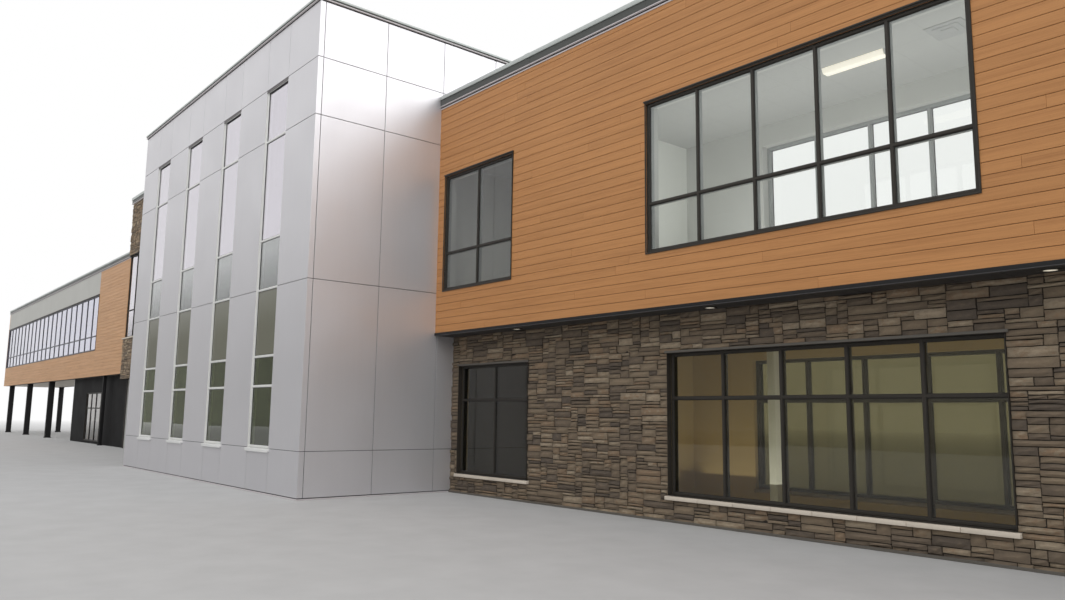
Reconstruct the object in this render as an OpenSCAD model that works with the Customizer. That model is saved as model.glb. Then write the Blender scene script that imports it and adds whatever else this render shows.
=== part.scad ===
// School building, a scale model at 1:2 of the real one: every size below is the model's own, in mm.
// A silver-panelled tower stands between a two-storey wing in wood boards over stone, on its right,
// and a stone pavilion on its left, which leads to a long far wing raised on square columns.
// X runs along the front from left to right, Y into the building and Z up from the ground.
// The rear of the tower and of both wings mirrors their front about the line through the tower's middle.

/* [Walls and slabs] */
// Thickness of the outer walls
wall_t = 150; // [120:5:180]
// Thickness of the ground slabs
slab_t = 60; // [40:5:100]
// Thickness of the upper floors
floor_t = 100; // [60:5:140]
// Height of the upper floors, top face
floor_top = 2050; // [1990:5:2100]
// Thickness of the roof decks
deck_t = 150; // [80:5:180]
// Thickness of the soffit panels
soffit_t = 25; // [15:1:40]

/* [Tower] */
// Width of the tower along the front
tower_w = 5885; // [5600:5:6600]
// Depth of the tower, front face to rear face
tower_d = 4730; // [4400:5:5600]
// Height of the tower, top of its coping
tower_h = 5000; // [4900:5:5150]
// Height of the tower's coping
tower_coping_h = 50; // [30:5:80]
// Drop from the top of the tower's walls to its roof deck
tower_parapet = 250; // [100:5:320]

/* [Tower windows] */
// Number of tall windows in the front
slot_count = 4; // [1:1:4]
// Width of a tall window
slot_w = 550; // [400:5:650]
// Distance from one tall window to the next
slot_pitch = 1315; // [1100:5:1390]
// Distance from the corner to the nearest tall window
slot_corner = 705; // [500:5:900]
// Sill of the tall windows
slot_sill = 450; // [300:5:600]
// Transom of the lowest panes
slot_low_transom = 1080; // [900:5:1250]
// Bottom of the opaque pane in front of the floor
spandrel_bottom = 1390; // [1320:5:1600]
// Top of the opaque pane in front of the floor
spandrel_top = 2100; // [2050:5:2200]
// Transom above the floor
slot_mid_transom = 2640; // [2400:5:2900]
// Transom of the highest pane
slot_high_transom = 3750; // [3500:5:3900]
// Head of the tall windows
slot_head = 4350; // [4200:5:4400]
// Projection of a tall window's sill
slot_sill_out = 20; // [10:1:24]
// Height of a tall window's sill
slot_sill_h = 30; // [20:1:50]
// Overhang of a sill past each side of its window
sill_side = 20; // [0:5:40]

/* [Panel joints of the tower] */
// Width of the open joints between the metal panels
joint_w = 6; // [4:1:16]
// Depth of the open joints
joint_deep = 10; // [5:1:20]
// Return of the corner panel round the corner
corner_return = 60; // [40:5:120]
// Distance between the upright joints in the tower's side
side_panel_w = 722; // [600:2:900]

/* [Right wing] */
// Width of the wall from the wing's last window to its end
end_pier = 525; // [450:5:800]
// Distance that the wings stand back from the tower's front
wing_back = 1480; // [1300:5:1600]
// Recess of the stone storey below the boarded one
stone_recess = 225; // [160:5:260]
// Underside of the boarded storey
board_bottom = 1670; // [1600:5:1720]
// Top of the boarded walls
board_top = 4175; // [4120:5:4260]
// Height of the wings' coping
wing_coping_h = 125; // [80:5:160]
// Drop from the top of the boarded walls to the roof deck
wing_parapet = 125; // [60:5:160]
// Height of the upper ceiling above the ground
ceiling_z = 3550; // [3480:5:3650]
// Thickness of the upper ceiling
ceiling_t = 25; // [15:1:40]
// Thickness of the lining on the tower's side, inside the right wing
lining_t = 12; // [8:1:20]
// Width of the metal trim along the foot of the boards
trim_w = 25; // [15:1:40]
// Height of the trim, and of the soffit beside it
trim_h = 30; // [20:1:40]
// Projection of the trim in front of the boards
trim_out = 8; // [2:1:12]

/* [Right wing windows] */
// Distance from the tower to the small windows
small_in = 130; // [60:5:300]
// Width of the small windows
small_w = 1150; // [900:5:1400]
// Panes across a small window
small_panes = 2; // [1:1:3]
// Distance from the tower to the large windows
large_in = 3030; // [2800:5:3300]
// Width of the large windows
large_w = 2545; // [2000:5:3000]
// Panes across a large window
large_panes = 5; // [3:1:7]
// Sill of the lower windows
low_sill = 205; // [150:5:300]
// Transom of the lower windows
low_transom = 965; // [800:5:1100]
// Head of the lower windows
low_head = 1325; // [1200:5:1450]
// Sill of the upper windows
up_sill = 2115; // [2105:5:2250]
// Transom of the upper windows
up_transom = 2515; // [2400:5:2700]
// Head of the upper windows
up_head = 3355; // [3200:5:3450]

/* [Window frames] */
// Face width of the frames, mullions and transoms
bar_w = 26; // [18:1:40]
// Depth of the frames
frame_d = 60; // [45:1:70]
// Thickness of the glass
glass_t = 12; // [8:1:16]
// Depth of the outer bars in front of the glass
bar_front = 12; // [8:1:28]
// Depth of the frames behind the face of the tower's walls
slot_reveal = 10; // [5:1:45]
// Depth of the frames behind the face of a boarded or dark panelled wall
reveal = 12; // [5:1:45]
// Depth of the frames behind the face of a stone wall
stone_reveal = 50; // [20:5:65]
// Depth of the frames behind the pavilion's stone face
pavilion_reveal = 57; // [50:1:80]

/* [Casings of the boarded walls' windows] */
// Width of the metal casing round a window in a boarded wall
casing_w = 12; // [6:1:40]
// Projection of the casing in front of the wall
casing_out = 8; // [5:1:24]
// Height of the flashing on top of the casing
flashing_h = 12; // [8:1:20]
// Projection of the flashing in front of the casing
flashing_out = 8; // [3:1:12]

/* [Lights of the soffit] */
// Number of round lights along the soffit of the right wing
downlight_count = 4; // [1:1:4]
// Distance from the tower to the first light
downlight_in = 1250; // [800:10:1600]
// Distance from one light to the next
downlight_pitch = 2310; // [2000:10:2450]
// Diameter of a light's ring
downlight_d = 110; // [80:5:140]
// Drop of the ring below the soffit
downlight_h = 8; // [4:1:15]

/* [Sills of the stone walls] */
// Height of a stone sill
stone_sill_h = 34; // [20:2:60]
// Projection of a stone sill in front of the wall
stone_sill_out = 16; // [6:1:22]

/* [Rooms behind the large windows] */
// Distance from the tower to the wall beside the lower room
lower_partition_x = 2350; // [1800:5:2750]
// Distance from the tower to the wall beside the upper room
upper_partition_x = 2120; // [1800:5:2750]
// Thickness of those walls
partition_t = 60; // [40:5:100]
// Length of the ceiling light
light_len = 500; // [400:10:900]
// Width of the ceiling light at the ceiling
light_w = 110; // [70:5:160]
// Width of its lens
light_lens_w = 70; // [40:5:110]
// Height of the ceiling light
light_h = 40; // [25:1:60]
// Middle of the light, from the tower's side
light_x = 4380; // [3900:5:4700]
// Side of the air grille in the ceiling
grille_w = 260; // [200:5:400]
// Drop of each step of the air grille
grille_step = 5; // [3:1:10]
// Middle of the air grille, from the tower's side
grille_x = 5095; // [4900:5:6500]
// Side of the column in the lower storey
inner_column = 70; // [60:5:200]
// Middle of the inner column, from the tower's side
inner_column_x = 3580; // [3300:5:4700]

/* [Stone pavilion] */
// Width of the stone pier at the hidden end of the pavilion's window
pavilion_pier = 355; // [250:5:500]
// Distance that the stone stands out in front of the boards beside it
pavilion_out = 45; // [30:5:70]
// Underside of the pavilion's upper storey
pavilion_bottom = 1475; // [1400:5:1560]
// Height of the pavilion, top of its coping
pavilion_h = 5500; // [5300:5:5800]
// Height of the pavilion's coping
pavilion_coping_h = 150; // [100:5:200]
// Drop from the top of the stone walls to the roof deck
pavilion_parapet = 300; // [150:5:450]
// Width of the pavilion's window
pavilion_window_w = 6000; // [5400:5:6800]
// Panes across the pavilion's window
pavilion_panes = 12; // [8:1:14]
// Sill of the pavilion's window
pavilion_sill = 2370; // [2200:5:2600]
// Transom of the pavilion's window
pavilion_transom = 2965; // [2800:5:3200]
// Head of the pavilion's window
pavilion_head = 4185; // [4000:5:4400]
// Distance that the pavilion's rear stands back from the tower's rear
pavilion_rear_back = 775; // [500:5:1200]
// Depth of the entrance recesses below the pavilion, from its stone faces
entrance_deep = 565; // [300:5:600]

/* [Far wing] */
// Length of the far wing, from the pavilion
far_len = 15460; // [15000:5:17000]
// Underside of the far wing
far_bottom = 1600; // [1540:5:1720]
// Thickness of the far end wall, and width of its face beside the ribbon window
far_end_t = 100; // [80:5:160]
// Width of the ribbon window
ribbon_w = 12800; // [12000:20:13200]
// Panes across the ribbon window
ribbon_panes = 21; // [15:1:24]
// Sill of the ribbon window
ribbon_sill = 2240; // [2150:5:2400]
// Transom of the ribbon window
ribbon_transom = 2590; // [2500:5:2800]
// Head of the ribbon window
ribbon_head = 3580; // [3400:5:3700]

/* [Portico and ground block] */
// Side of the square columns
column_w = 140; // [100:5:180]
// Number of columns in a row
column_count = 3; // [1:1:3]
// Distance from the far end to the first column, middle
column_end = 1000; // [400:5:1300]
// Distance from one column to the next
column_pitch = 3300; // [2600:5:3500]
// Distance of the columns' middle behind the face of the boards
column_back = 120; // [95:5:200]
// Length of the ground block, from the pavilion
block_len = 5210; // [4600:5:5800]
// Distance of the ground block's face behind the boards
block_back = 160; // [155:5:220]
// Width of the glazed entrance screen
screen_w = 1850; // [1400:5:2200]
// Distance from the pavilion to the screen
screen_x = 1910; // [1750:5:2100]
// Head of the screen
screen_head = 1225; // [1100:5:1400]
// Transom of the screen
screen_transom = 850; // [700:5:950]
// Panes across the screen
screen_panes = 4; // [2:1:6]
// Side of the slender column beside the screen
slim_column = 70; // [50:5:90]
// Distance from the pavilion to the slender column, middle
slim_column_x = 1660; // [1450:5:1700]

/* [Copings] */
// Overlap of the copings past each face of their wall
coping_lap = 25; // [15:1:40]
// Distance that a coping's face stands back below its cap
coping_step = 10; // [4:1:14]
// Height of the drip foot of a coping
coping_foot = 12; // [6:1:20]
// Distance that the drip foot stands out of the coping's face
coping_drip = 6; // [2:1:10]
// Height of the tower coping's cap
tower_cap = 22; // [10:1:30]
// Height of the wing copings' cap
wing_cap = 42; // [20:1:60]
// Height of the pavilion coping's cap
pavilion_cap = 62; // [30:1:80]

/* [Hidden] */

// Overlap of a cutter past the faces that it cuts
over = 1;

// Length of the right wing, whose windows stand evenly on both sides of its large window
wing_len = 2 * large_in + large_w - small_in + end_pier;

// Lines of the plan: x of the tower's left side, of the pavilion's left side and of the far end
tower_left = -tower_w;
pavilion_left = tower_left - pavilion_window_w - pavilion_pier;
far_left = pavilion_left - far_len;

// Middle of the whole plan, which becomes the model's origin
plan_x = (far_left + wing_len) / 2;
plan_y = tower_d / 2;

// Faces of the walls, front half: outer face and inner face of each storey
board_y = wing_back;
board_in = board_y + wall_t;
stone_y = board_y + stone_recess;
stone_in = stone_y + wall_t;
stone_end_x = wing_len - stone_recess;
pavilion_y = board_y - pavilion_out;
pavilion_in = pavilion_y + wall_t;
pavilion_rear = tower_d - pavilion_rear_back;
entrance_y = pavilion_y + entrance_deep;
entrance_in = entrance_y + wall_t;
block_y = board_y + block_back;
block_left = pavilion_left - block_len;

// Tops of the walls under their copings, and the underside of the upper floors
tower_top = tower_h - tower_coping_h;
pavilion_top = pavilion_h - pavilion_coping_h;
floor_z = floor_top - floor_t;

// Profile of both wings' copings
wing_coping_steps = coping_steps(board_top, wing_coping_h, wing_cap);

// Windows of the right wing along the wall: [x, width, panes]
wing_windows = [
    [small_in, small_w, small_panes],
    [large_in, large_w, large_panes],
    [2 * large_in + large_w - small_in - small_w, small_w, small_panes]
];

// Left edges of the tall windows
slot_xs = [for (i = [0 : slot_count - 1]) -slot_corner - slot_w - i * slot_pitch];

// Heights of the level joints between the tower's panels
joint_levels = [slot_sill, spandrel_top, slot_high_transom, slot_head];

// Ribbon window and screen: left edges, and the ribbon's right edge
ribbon_x = far_left + far_end_t;
ribbon_right = ribbon_x + ribbon_w;
screen_left = pavilion_left - screen_x - screen_w;

// Moves the plan's middle to the origin
module placed() {
    translate([-plan_x, -plan_y, 0]) children();
}

// Mirrors a piece of the front to the rear
module at_rear() {
    translate([0, tower_d, 0]) mirror([0, 1, 0]) children();
}

// Places a piece at the front and its mirrored copy at the rear
module both_sides() {
    children();
    at_rear() children();
}

// Mirrors a piece of the pavilion's front to its rear
module at_pavilion_rear() {
    translate([0, pavilion_y + pavilion_rear, 0]) mirror([0, 1, 0]) children();
}

// Places a piece at the pavilion's front and its mirrored copy at the pavilion's rear
module both_fronts() {
    children();
    at_pavilion_rear() children();
}

// Does so with a piece of its window, which starts at the boards in front and at the tower behind
module both_pavilion_windows() {
    translate([pavilion_left, 0, 0]) children();
    translate([pavilion_left + pavilion_pier, 0, 0]) at_pavilion_rear() children();
}

// A straight block from one corner to the opposite one
module block(low, high) {
    translate(low) cube(high - low);
}

// Cuts a window's hole through a wall whose outer face is at y
module hole(x, y, sill, w, head) {
    block([x, y - over, sill], [x + w, y + wall_t + over, head]);
}

// Sill below a window: it fills the reveal down to its depth and stands out of the face at y
module sill(x, y, w, top, h, out, back) {
    block([x - sill_side, y - out, top - h], [x + w + sill_side, y + back, top]);
}

// Grid of bars across a frame: mullions between the panes and transoms at their levels
module bars(w, h, depth, panes, transoms) {
    pitch = w / panes;
    for (i = [1 : 1 : panes - 1])
        translate([i * pitch - bar_w / 2, 0, 0]) cube([bar_w, depth, h]);
    for (level = transoms)
        translate([0, 0, level - bar_w / 2]) cube([w, depth, bar_w]);
}

// A window frame with its bars in front of the glass and behind it, and a slot for the glass between
module frame(w, h, panes, transoms) {
    difference() {
        cube([w, frame_d, h]);
        translate([bar_w, -over, bar_w]) cube([w - 2 * bar_w, frame_d + 2 * over, h - 2 * bar_w]);
    }
    intersection() {
        union() {
            bars(w, h, bar_front, panes, transoms);
            translate([0, bar_front + glass_t, 0])
                bars(w, h, frame_d - bar_front - glass_t, panes, transoms);
        }
        translate([bar_w - over, -over, bar_w - over])
            cube([w - 2 * bar_w + 2 * over, frame_d + 2 * over, h - 2 * bar_w + 2 * over]);
    }
}

// A frame in the hole at x, from sill to head, its face set back behind the wall's face at y
module placed_frame(x, y, sill, w, head, panes, transoms, back) {
    translate([x, y + back, sill])
        frame(w, head - sill, panes, [for (level = transoms) level - sill]);
}

// The sheet of glass of that frame, from one height to another
module sheet(x, y, w, low, high, back) {
    block([x + bar_w, y + back + bar_front, low], [x + w - bar_w, y + back + bar_front + glass_t, high]);
}

// Steps of a coping's profile from its base up, each as [overlap of the wall, bottom, top]
function coping_steps(base, height, cap) = [
    [coping_lap - coping_step + coping_drip, base, base + coping_foot],
    [coping_lap - coping_step, base + coping_foot, base + height - cap],
    [coping_lap, base + height - cap, base + height]
];

// Coping on walls between two corners of the plan, closed or open at its left or right end
module coping(low, high, steps, open_left = false, open_right = false) {
    for (step = steps) coping_ring(low, high, step[0], step[1], step[2], open_left, open_right);
}

// One step of a coping: a ring that laps its walls by the same amount outside and inside
module coping_ring(low, high, lap, base, top, open_left, open_right) {
    out_left = open_left ? 0 : lap;
    out_right = open_right ? 0 : lap;
    in_left = open_left ? -over : wall_t + lap;
    in_right = open_right ? -over : wall_t + lap;
    translate([0, 0, base]) linear_extrude(top - base) difference() {
        translate([low[0] - out_left, low[1] - lap])
            square([high[0] - low[0] + out_left + out_right, high[1] - low[1] + 2 * lap]);
        translate([low[0] + in_left, low[1] + wall_t + lap])
            square([high[0] - low[0] - in_left - in_right, high[1] - low[1] - 2 * (wall_t + lap)]);
    }
}

// Open joints between the tower's metal panels, as cutters
module panel_joints() {
    for (level = joint_levels) difference() {
        block([tower_left - over, -over, level - joint_w / 2], [over, tower_d + over, level + joint_w / 2]);
        block([tower_left + joint_deep, joint_deep, level - joint_w],
              [-joint_deep, tower_d - joint_deep, level + joint_w]);
    }
    both_sides() for (x = slot_xs, edge = [x, x + slot_w]) {
        block([edge - joint_w / 2, -over, -over], [edge + joint_w / 2, joint_deep, slot_sill]);
        block([edge - joint_w / 2, -over, slot_head], [edge + joint_w / 2, joint_deep, tower_top + over]);
    }
    for (y = [corner_return : side_panel_w : tower_d - corner_return]) {
        block([-joint_deep, y - joint_w / 2, -over], [over, y + joint_w / 2, tower_top + over]);
        block([tower_left - over, y - joint_w / 2, -over],
              [tower_left + joint_deep, y + joint_w / 2, tower_top + over]);
    }
}

// Long wall of the tower with the holes of its tall windows and of their sills, at the front
module tower_long_wall() {
    difference() {
        block([tower_left, 0, 0], [0, wall_t, tower_top]);
        for (x = slot_xs) {
            hole(x, 0, slot_sill, slot_w, slot_head);
            sill(x, 0, slot_w, slot_sill, slot_sill_h, over, slot_reveal);
        }
    }
}

module tower_front_wall() {
    color("silver") placed() difference() {
        tower_long_wall();
        panel_joints();
    }
}

module tower_rear_wall() {
    color("silver") placed() difference() {
        at_rear() tower_long_wall();
        panel_joints();
    }
}

module tower_side_walls() {
    color("silver") placed() difference() {
        for (x = [tower_left, -wall_t])
            block([x, wall_t, 0], [x + wall_t, tower_d - wall_t, tower_top]);
        panel_joints();
    }
}

// Coping of the tower, which stops against the pavilion's higher walls
module tower_coping() {
    color("dimgray") placed() difference() {
        coping([tower_left, 0], [0, tower_d], coping_steps(tower_top, tower_coping_h, tower_cap));
        block([pavilion_left, pavilion_y, 0], [tower_left, pavilion_rear, pavilion_top]);
    }
}

module tower_window_frames() {
    levels = [slot_low_transom, spandrel_bottom, spandrel_top, slot_mid_transom, slot_high_transom];
    color("gainsboro") placed() both_sides() for (x = slot_xs)
        placed_frame(x, 0, slot_sill, slot_w, slot_head, 1, levels, slot_reveal);
}

module tower_glass() {
    color("lightsteelblue", 0.5) placed() both_sides() for (x = slot_xs) {
        sheet(x, 0, slot_w, slot_sill + bar_w, spandrel_bottom, slot_reveal);
        sheet(x, 0, slot_w, spandrel_top, slot_head - bar_w, slot_reveal);
    }
}

module tower_spandrels() {
    color("darkolivegreen") placed() both_sides() for (x = slot_xs)
        sheet(x, 0, slot_w, spandrel_bottom, spandrel_top, slot_reveal);
}

module tower_sills() {
    color("white") placed() both_sides() for (x = slot_xs)
        sill(x, 0, slot_w, slot_sill, slot_sill_h, slot_sill_out, slot_reveal);
}

// Long wall of the stone storey, at the front
module wing_lower_long_wall() {
    difference() {
        block([0, stone_y, 0], [stone_end_x, stone_in, floor_z]);
        for (win = wing_windows) {
            hole(win[0], stone_y, low_sill, win[1], low_head);
            sill(win[0], stone_y, win[1], low_sill, stone_sill_h, over, stone_reveal);
        }
    }
}

module wing_lower_front_wall() {
    color("dimgray") placed() wing_lower_long_wall();
}

module wing_lower_rear_wall() {
    color("dimgray") placed() at_rear() wing_lower_long_wall();
}

module wing_lower_end_wall() {
    color("dimgray") placed()
        block([stone_end_x - wall_t, stone_in, 0], [stone_end_x, tower_d - stone_in, floor_z]);
}

// Long wall of the boarded storey, at the front
module wing_upper_long_wall() {
    difference() {
        block([0, board_y, board_bottom], [wing_len, board_in, board_top]);
        for (win = wing_windows) hole(win[0], board_y, up_sill, win[1], up_head);
    }
}

module wing_upper_front_wall() {
    color("peru") placed() wing_upper_long_wall();
}

module wing_upper_rear_wall() {
    color("peru") placed() at_rear() wing_upper_long_wall();
}

module wing_upper_end_wall() {
    color("peru") placed()
        block([wing_len - wall_t, board_in, board_bottom], [wing_len, tower_d - board_in, board_top]);
}

// Soffit under the overhang of the boarded storey, round three sides
module wing_soffit() {
    color("black") placed() difference() {
        block([0, board_y + trim_w - trim_out, board_bottom - trim_h],
              [wing_len - trim_w + trim_out, tower_d - board_y - trim_w + trim_out, board_bottom]);
        block([-over, stone_y, board_bottom - trim_h - over],
              [stone_end_x, tower_d - stone_y, board_bottom + over]);
    }
}

// Round lights under the soffit, at the middle of the overhang
module soffit_lights() {
    color("gainsboro") placed() both_sides() for (i = [0 : downlight_count - 1])
        translate([downlight_in + i * downlight_pitch, (board_y + stone_y) / 2,
                   board_bottom - trim_h - downlight_h])
            cylinder(h = downlight_h, d = downlight_d, $fn = 32);
}

// Metal trim along the foot of the boards, round the soffit
module wing_trim() {
    color("darkslategray") placed() difference() {
        block([0, board_y - trim_out, board_bottom - trim_h],
              [wing_len + trim_out, tower_d - board_y + trim_out, board_bottom]);
        block([-over, board_y - trim_out + trim_w, board_bottom - trim_h - over],
              [wing_len + trim_out - trim_w, tower_d - board_y + trim_out - trim_w, board_bottom + over]);
    }
}

module wing_coping() {
    color("slategray") placed()
        coping([0, board_y], [wing_len, tower_d - board_y], wing_coping_steps, open_left = true);
}

// Casing round a hole of a boarded wall, with a flashing that stands out over its head
module casing(x, sill, w, head) {
    difference() {
        block([x - casing_w, board_y - casing_out, sill - casing_w],
              [x + w + casing_w, board_y, head + casing_w]);
        block([x, board_y - casing_out - over, sill], [x + w, board_y + over, head]);
    }
    block([x - casing_w - flashing_out, board_y - casing_out - flashing_out, head + casing_w],
          [x + w + casing_w + flashing_out, board_y, head + casing_w + flashing_h]);
}

// Casings of the upper windows of the right wing and of the ribbon windows
module window_casings() {
    color("black") placed() both_sides() {
        for (win = wing_windows) casing(win[0], up_sill, win[1], up_head);
        casing(ribbon_x, ribbon_sill, ribbon_w, ribbon_head);
    }
}

module wing_window_frames() {
    color("darkslategray") placed() both_sides() for (win = wing_windows) {
        placed_frame(win[0], board_y, up_sill, win[1], up_head, win[2], [up_transom], reveal);
        placed_frame(win[0], stone_y, low_sill, win[1], low_head, win[2], [low_transom], stone_reveal);
    }
}

module wing_upper_glass() {
    color("lightsteelblue", 0.5) placed() both_sides() for (win = wing_windows)
        sheet(win[0], board_y, win[1], up_sill + bar_w, up_head - bar_w, reveal);
}

module wing_lower_glass() {
    color("lightsteelblue", 0.5) placed() both_sides() for (win = wing_windows)
        sheet(win[0], stone_y, win[1], low_sill + bar_w, low_head - bar_w, stone_reveal);
}

module stone_sills() {
    color("antiquewhite") placed() {
        both_sides() for (win = wing_windows)
            sill(win[0], stone_y, win[1], low_sill, stone_sill_h, stone_sill_out, stone_reveal);
        both_pavilion_windows() pavilion_sill_block(stone_sill_out);
    }
}

// Sill of the pavilion's window, whose wall it does not reach past
module pavilion_sill_block(out) {
    block([0, pavilion_y - out, pavilion_sill - stone_sill_h],
          [pavilion_window_w, pavilion_y + pavilion_reveal, pavilion_sill]);
}

// Lining of the tower's side inside both storeys of the wing
module wing_lining() {
    color("white") placed() {
        block([0, stone_in, slab_t], [lining_t, tower_d - stone_in, floor_z]);
        block([0, board_in, floor_top], [lining_t, tower_d - board_in, ceiling_z]);
    }
}

// Walls beside the rooms behind the large windows, their faces at the distances named
module partition_walls() {
    color("white") placed() {
        block([lower_partition_x - partition_t, stone_in, slab_t],
              [lower_partition_x, tower_d - stone_in, floor_z]);
        block([upper_partition_x - partition_t, board_in, floor_top],
              [upper_partition_x, tower_d - board_in, ceiling_z]);
    }
}

// Ceiling of the boarded storey, just above its windows
module upper_ceiling() {
    color("white") placed()
        block([0, board_in, ceiling_z], [wing_len - wall_t, tower_d - board_in, ceiling_z + ceiling_t]);
}

// Strip light under the ceiling, a housing that narrows to its lens
module ceiling_light() {
    color("white") placed() translate([light_x - light_len / 2, plan_y, ceiling_z]) rotate([90, 0, 90])
        linear_extrude(light_len)
            polygon([[-light_w / 2, 0], [light_w / 2, 0],
                     [light_lens_w / 2, -light_h], [-light_lens_w / 2, -light_h]]);
}

// Air grille under the ceiling, three square rings that step down towards the middle
module ceiling_grille() {
    color("white") placed() for (ring = [0 : 2]) {
        side = grille_w * (3 - ring) / 3;
        translate([grille_x, plan_y, ceiling_z - (ring + 1) * grille_step]) linear_extrude(grille_step)
            square(side, center = true);
    }
}

// Column that stands in the lower storey and carries its floor
module inner_column() {
    color("beige") placed()
        translate([inner_column_x - inner_column / 2, plan_y - inner_column / 2, slab_t])
            cube([inner_column, inner_column, floor_z - slab_t]);
}

// Long wall of the pavilion above the entrance recess, as at the front
module pavilion_long_wall() {
    block([pavilion_left, pavilion_y, pavilion_bottom], [tower_left, pavilion_in, pavilion_top]);
}

// Cutter for the pavilion's window and for its sill
module pavilion_opening() {
    hole(0, pavilion_y, pavilion_sill, pavilion_window_w, pavilion_head);
    pavilion_sill_block(over);
}

module pavilion_front_wall() {
    color("gray") placed() difference() {
        pavilion_long_wall();
        both_pavilion_windows() pavilion_opening();
    }
}

module pavilion_rear_wall() {
    color("gray") placed() difference() {
        at_pavilion_rear() pavilion_long_wall();
        both_pavilion_windows() pavilion_opening();
    }
}

module pavilion_side_walls() {
    color("gray") placed() for (x = [pavilion_left, tower_left - wall_t])
        block([x, pavilion_in, 0], [x + wall_t, pavilion_rear - wall_t, pavilion_top]);
}

module pavilion_coping() {
    color("slategray") placed()
        coping([pavilion_left, pavilion_y], [tower_left, pavilion_rear],
               coping_steps(pavilion_top, pavilion_coping_h, pavilion_cap));
}

module pavilion_window_frames() {
    color("darkslategray") placed() both_pavilion_windows()
        placed_frame(0, pavilion_y, pavilion_sill, pavilion_window_w, pavilion_head,
                     pavilion_panes, [pavilion_transom], pavilion_reveal);
}

module pavilion_glass() {
    color("lightsteelblue", 0.5) placed() both_pavilion_windows()
        sheet(0, pavilion_y, pavilion_window_w, pavilion_sill + bar_w, pavilion_head - bar_w,
              pavilion_reveal);
}

// Dark walls at the back of the entrance recesses
module entrance_walls() {
    color("black") placed() both_fronts()
        block([pavilion_left + wall_t, entrance_y, 0], [tower_left - wall_t, entrance_in, floor_z]);
}

// Boarded walls below the ribbon windows
module far_low_walls() {
    color("peru") placed() both_sides()
        block([ribbon_x, board_y, far_bottom], [ribbon_right, board_in, ribbon_sill]);
}

// Boarded walls of full height beside the ribbon windows, up to the pavilion's stone
module far_full_walls() {
    color("peru") placed() both_sides()
        block([ribbon_right, board_y, far_bottom], [pavilion_left, board_in, board_top]);
}

// Grey panelled walls above the ribbon windows
module far_band_walls() {
    color("silver") placed() both_sides()
        block([ribbon_x, board_y, ribbon_head], [ribbon_right, board_in, board_top]);
}

module far_end_wall() {
    color("peru") placed()
        block([far_left, board_y, far_bottom], [ribbon_x, tower_d - board_y, board_top]);
}

// Coping of the far wing, which stops against the pavilion
module far_coping() {
    color("slategray") placed()
        coping([far_left, board_y], [pavilion_left, tower_d - board_y], wing_coping_steps,
               open_right = true);
}

module ribbon_frames() {
    color("darkslategray") placed() both_sides()
        placed_frame(ribbon_x, board_y, ribbon_sill, ribbon_w, ribbon_head, ribbon_panes,
                     [ribbon_transom], reveal);
}

module ribbon_glass() {
    color("lightsteelblue", 0.5) placed() both_sides()
        sheet(ribbon_x, board_y, ribbon_w, ribbon_sill + bar_w, ribbon_head - bar_w, reveal);
}

// Soffits of the far wing and of the entrance recesses
module portico_soffit() {
    color("tan") placed() {
        block([ribbon_x, board_in, far_bottom], [pavilion_left, tower_d - board_in, far_bottom + soffit_t]);
        both_fronts()
            block([pavilion_left + wall_t, pavilion_in, pavilion_bottom],
                  [tower_left - wall_t, entrance_y, pavilion_bottom + soffit_t]);
    }
}

// Square columns of the portico, and the slender one beside the entrance screen
module portico_columns() {
    color("darkslategray") placed() both_sides() {
        for (i = [0 : column_count - 1])
            translate([far_left + column_end + i * column_pitch - column_w / 2,
                       board_y + column_back - column_w / 2, 0])
                cube([column_w, column_w, far_bottom]);
        translate([pavilion_left - slim_column_x - slim_column / 2,
                   board_y + column_back / 2 - slim_column / 2, 0])
            cube([slim_column, slim_column, far_bottom]);
    }
}

// Dark walls of the ground block, with the entrance screen's opening
module block_long_walls() {
    color("black") placed() both_sides() difference() {
        block([block_left, block_y, 0], [pavilion_left, block_y + wall_t, far_bottom]);
        hole(screen_left, block_y, slab_t, screen_w, screen_head);
    }
}

module block_end_wall() {
    color("black") placed()
        block([block_left, block_y + wall_t, 0],
              [block_left + wall_t, tower_d - block_y - wall_t, far_bottom]);
}

module screen_frame() {
    color("darkslategray") placed() both_sides()
        placed_frame(screen_left, block_y, slab_t, screen_w, screen_head, screen_panes,
                     [screen_transom], reveal);
}

module screen_glass() {
    color("lightsteelblue", 0.5) placed() both_sides()
        sheet(screen_left, block_y, screen_w, slab_t + bar_w, screen_head - bar_w, reveal);
}

// Ground slabs inside the tower, the right wing, the pavilion and the ground block
module ground_slabs() {
    color("lightgray") placed() {
        block([tower_left + wall_t, wall_t, 0], [-wall_t, tower_d - wall_t, slab_t]);
        block([0, stone_in, 0], [stone_end_x - wall_t, tower_d - stone_in, slab_t]);
        block([pavilion_left + wall_t, entrance_in, 0],
              [tower_left - wall_t, pavilion_y + pavilion_rear - entrance_in, slab_t]);
        block([block_left + wall_t, block_y + wall_t, 0],
              [pavilion_left, tower_d - block_y - wall_t, slab_t]);
    }
}

// A floor or roof deck between the walls of each part of the building
module decks(tower_z, wing_z, pavilion_z, thick) {
    block([tower_left + wall_t, wall_t, tower_z - thick], [-wall_t, tower_d - wall_t, tower_z]);
    block([0, board_in, wing_z - thick], [wing_len - wall_t, tower_d - board_in, wing_z]);
    block([pavilion_left + wall_t, pavilion_in, pavilion_z - thick],
          [tower_left - wall_t, pavilion_rear - wall_t, pavilion_z]);
    block([ribbon_x, board_in, wing_z - thick], [pavilion_left, tower_d - board_in, wing_z]);
}

module upper_floors() {
    color("lightgray") placed() decks(floor_top, floor_top, floor_top, floor_t);
}

module roof_decks() {
    color("darkgray") placed()
        decks(tower_top - tower_parapet, board_top - wing_parapet, pavilion_top - pavilion_parapet, deck_t);
}

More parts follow.
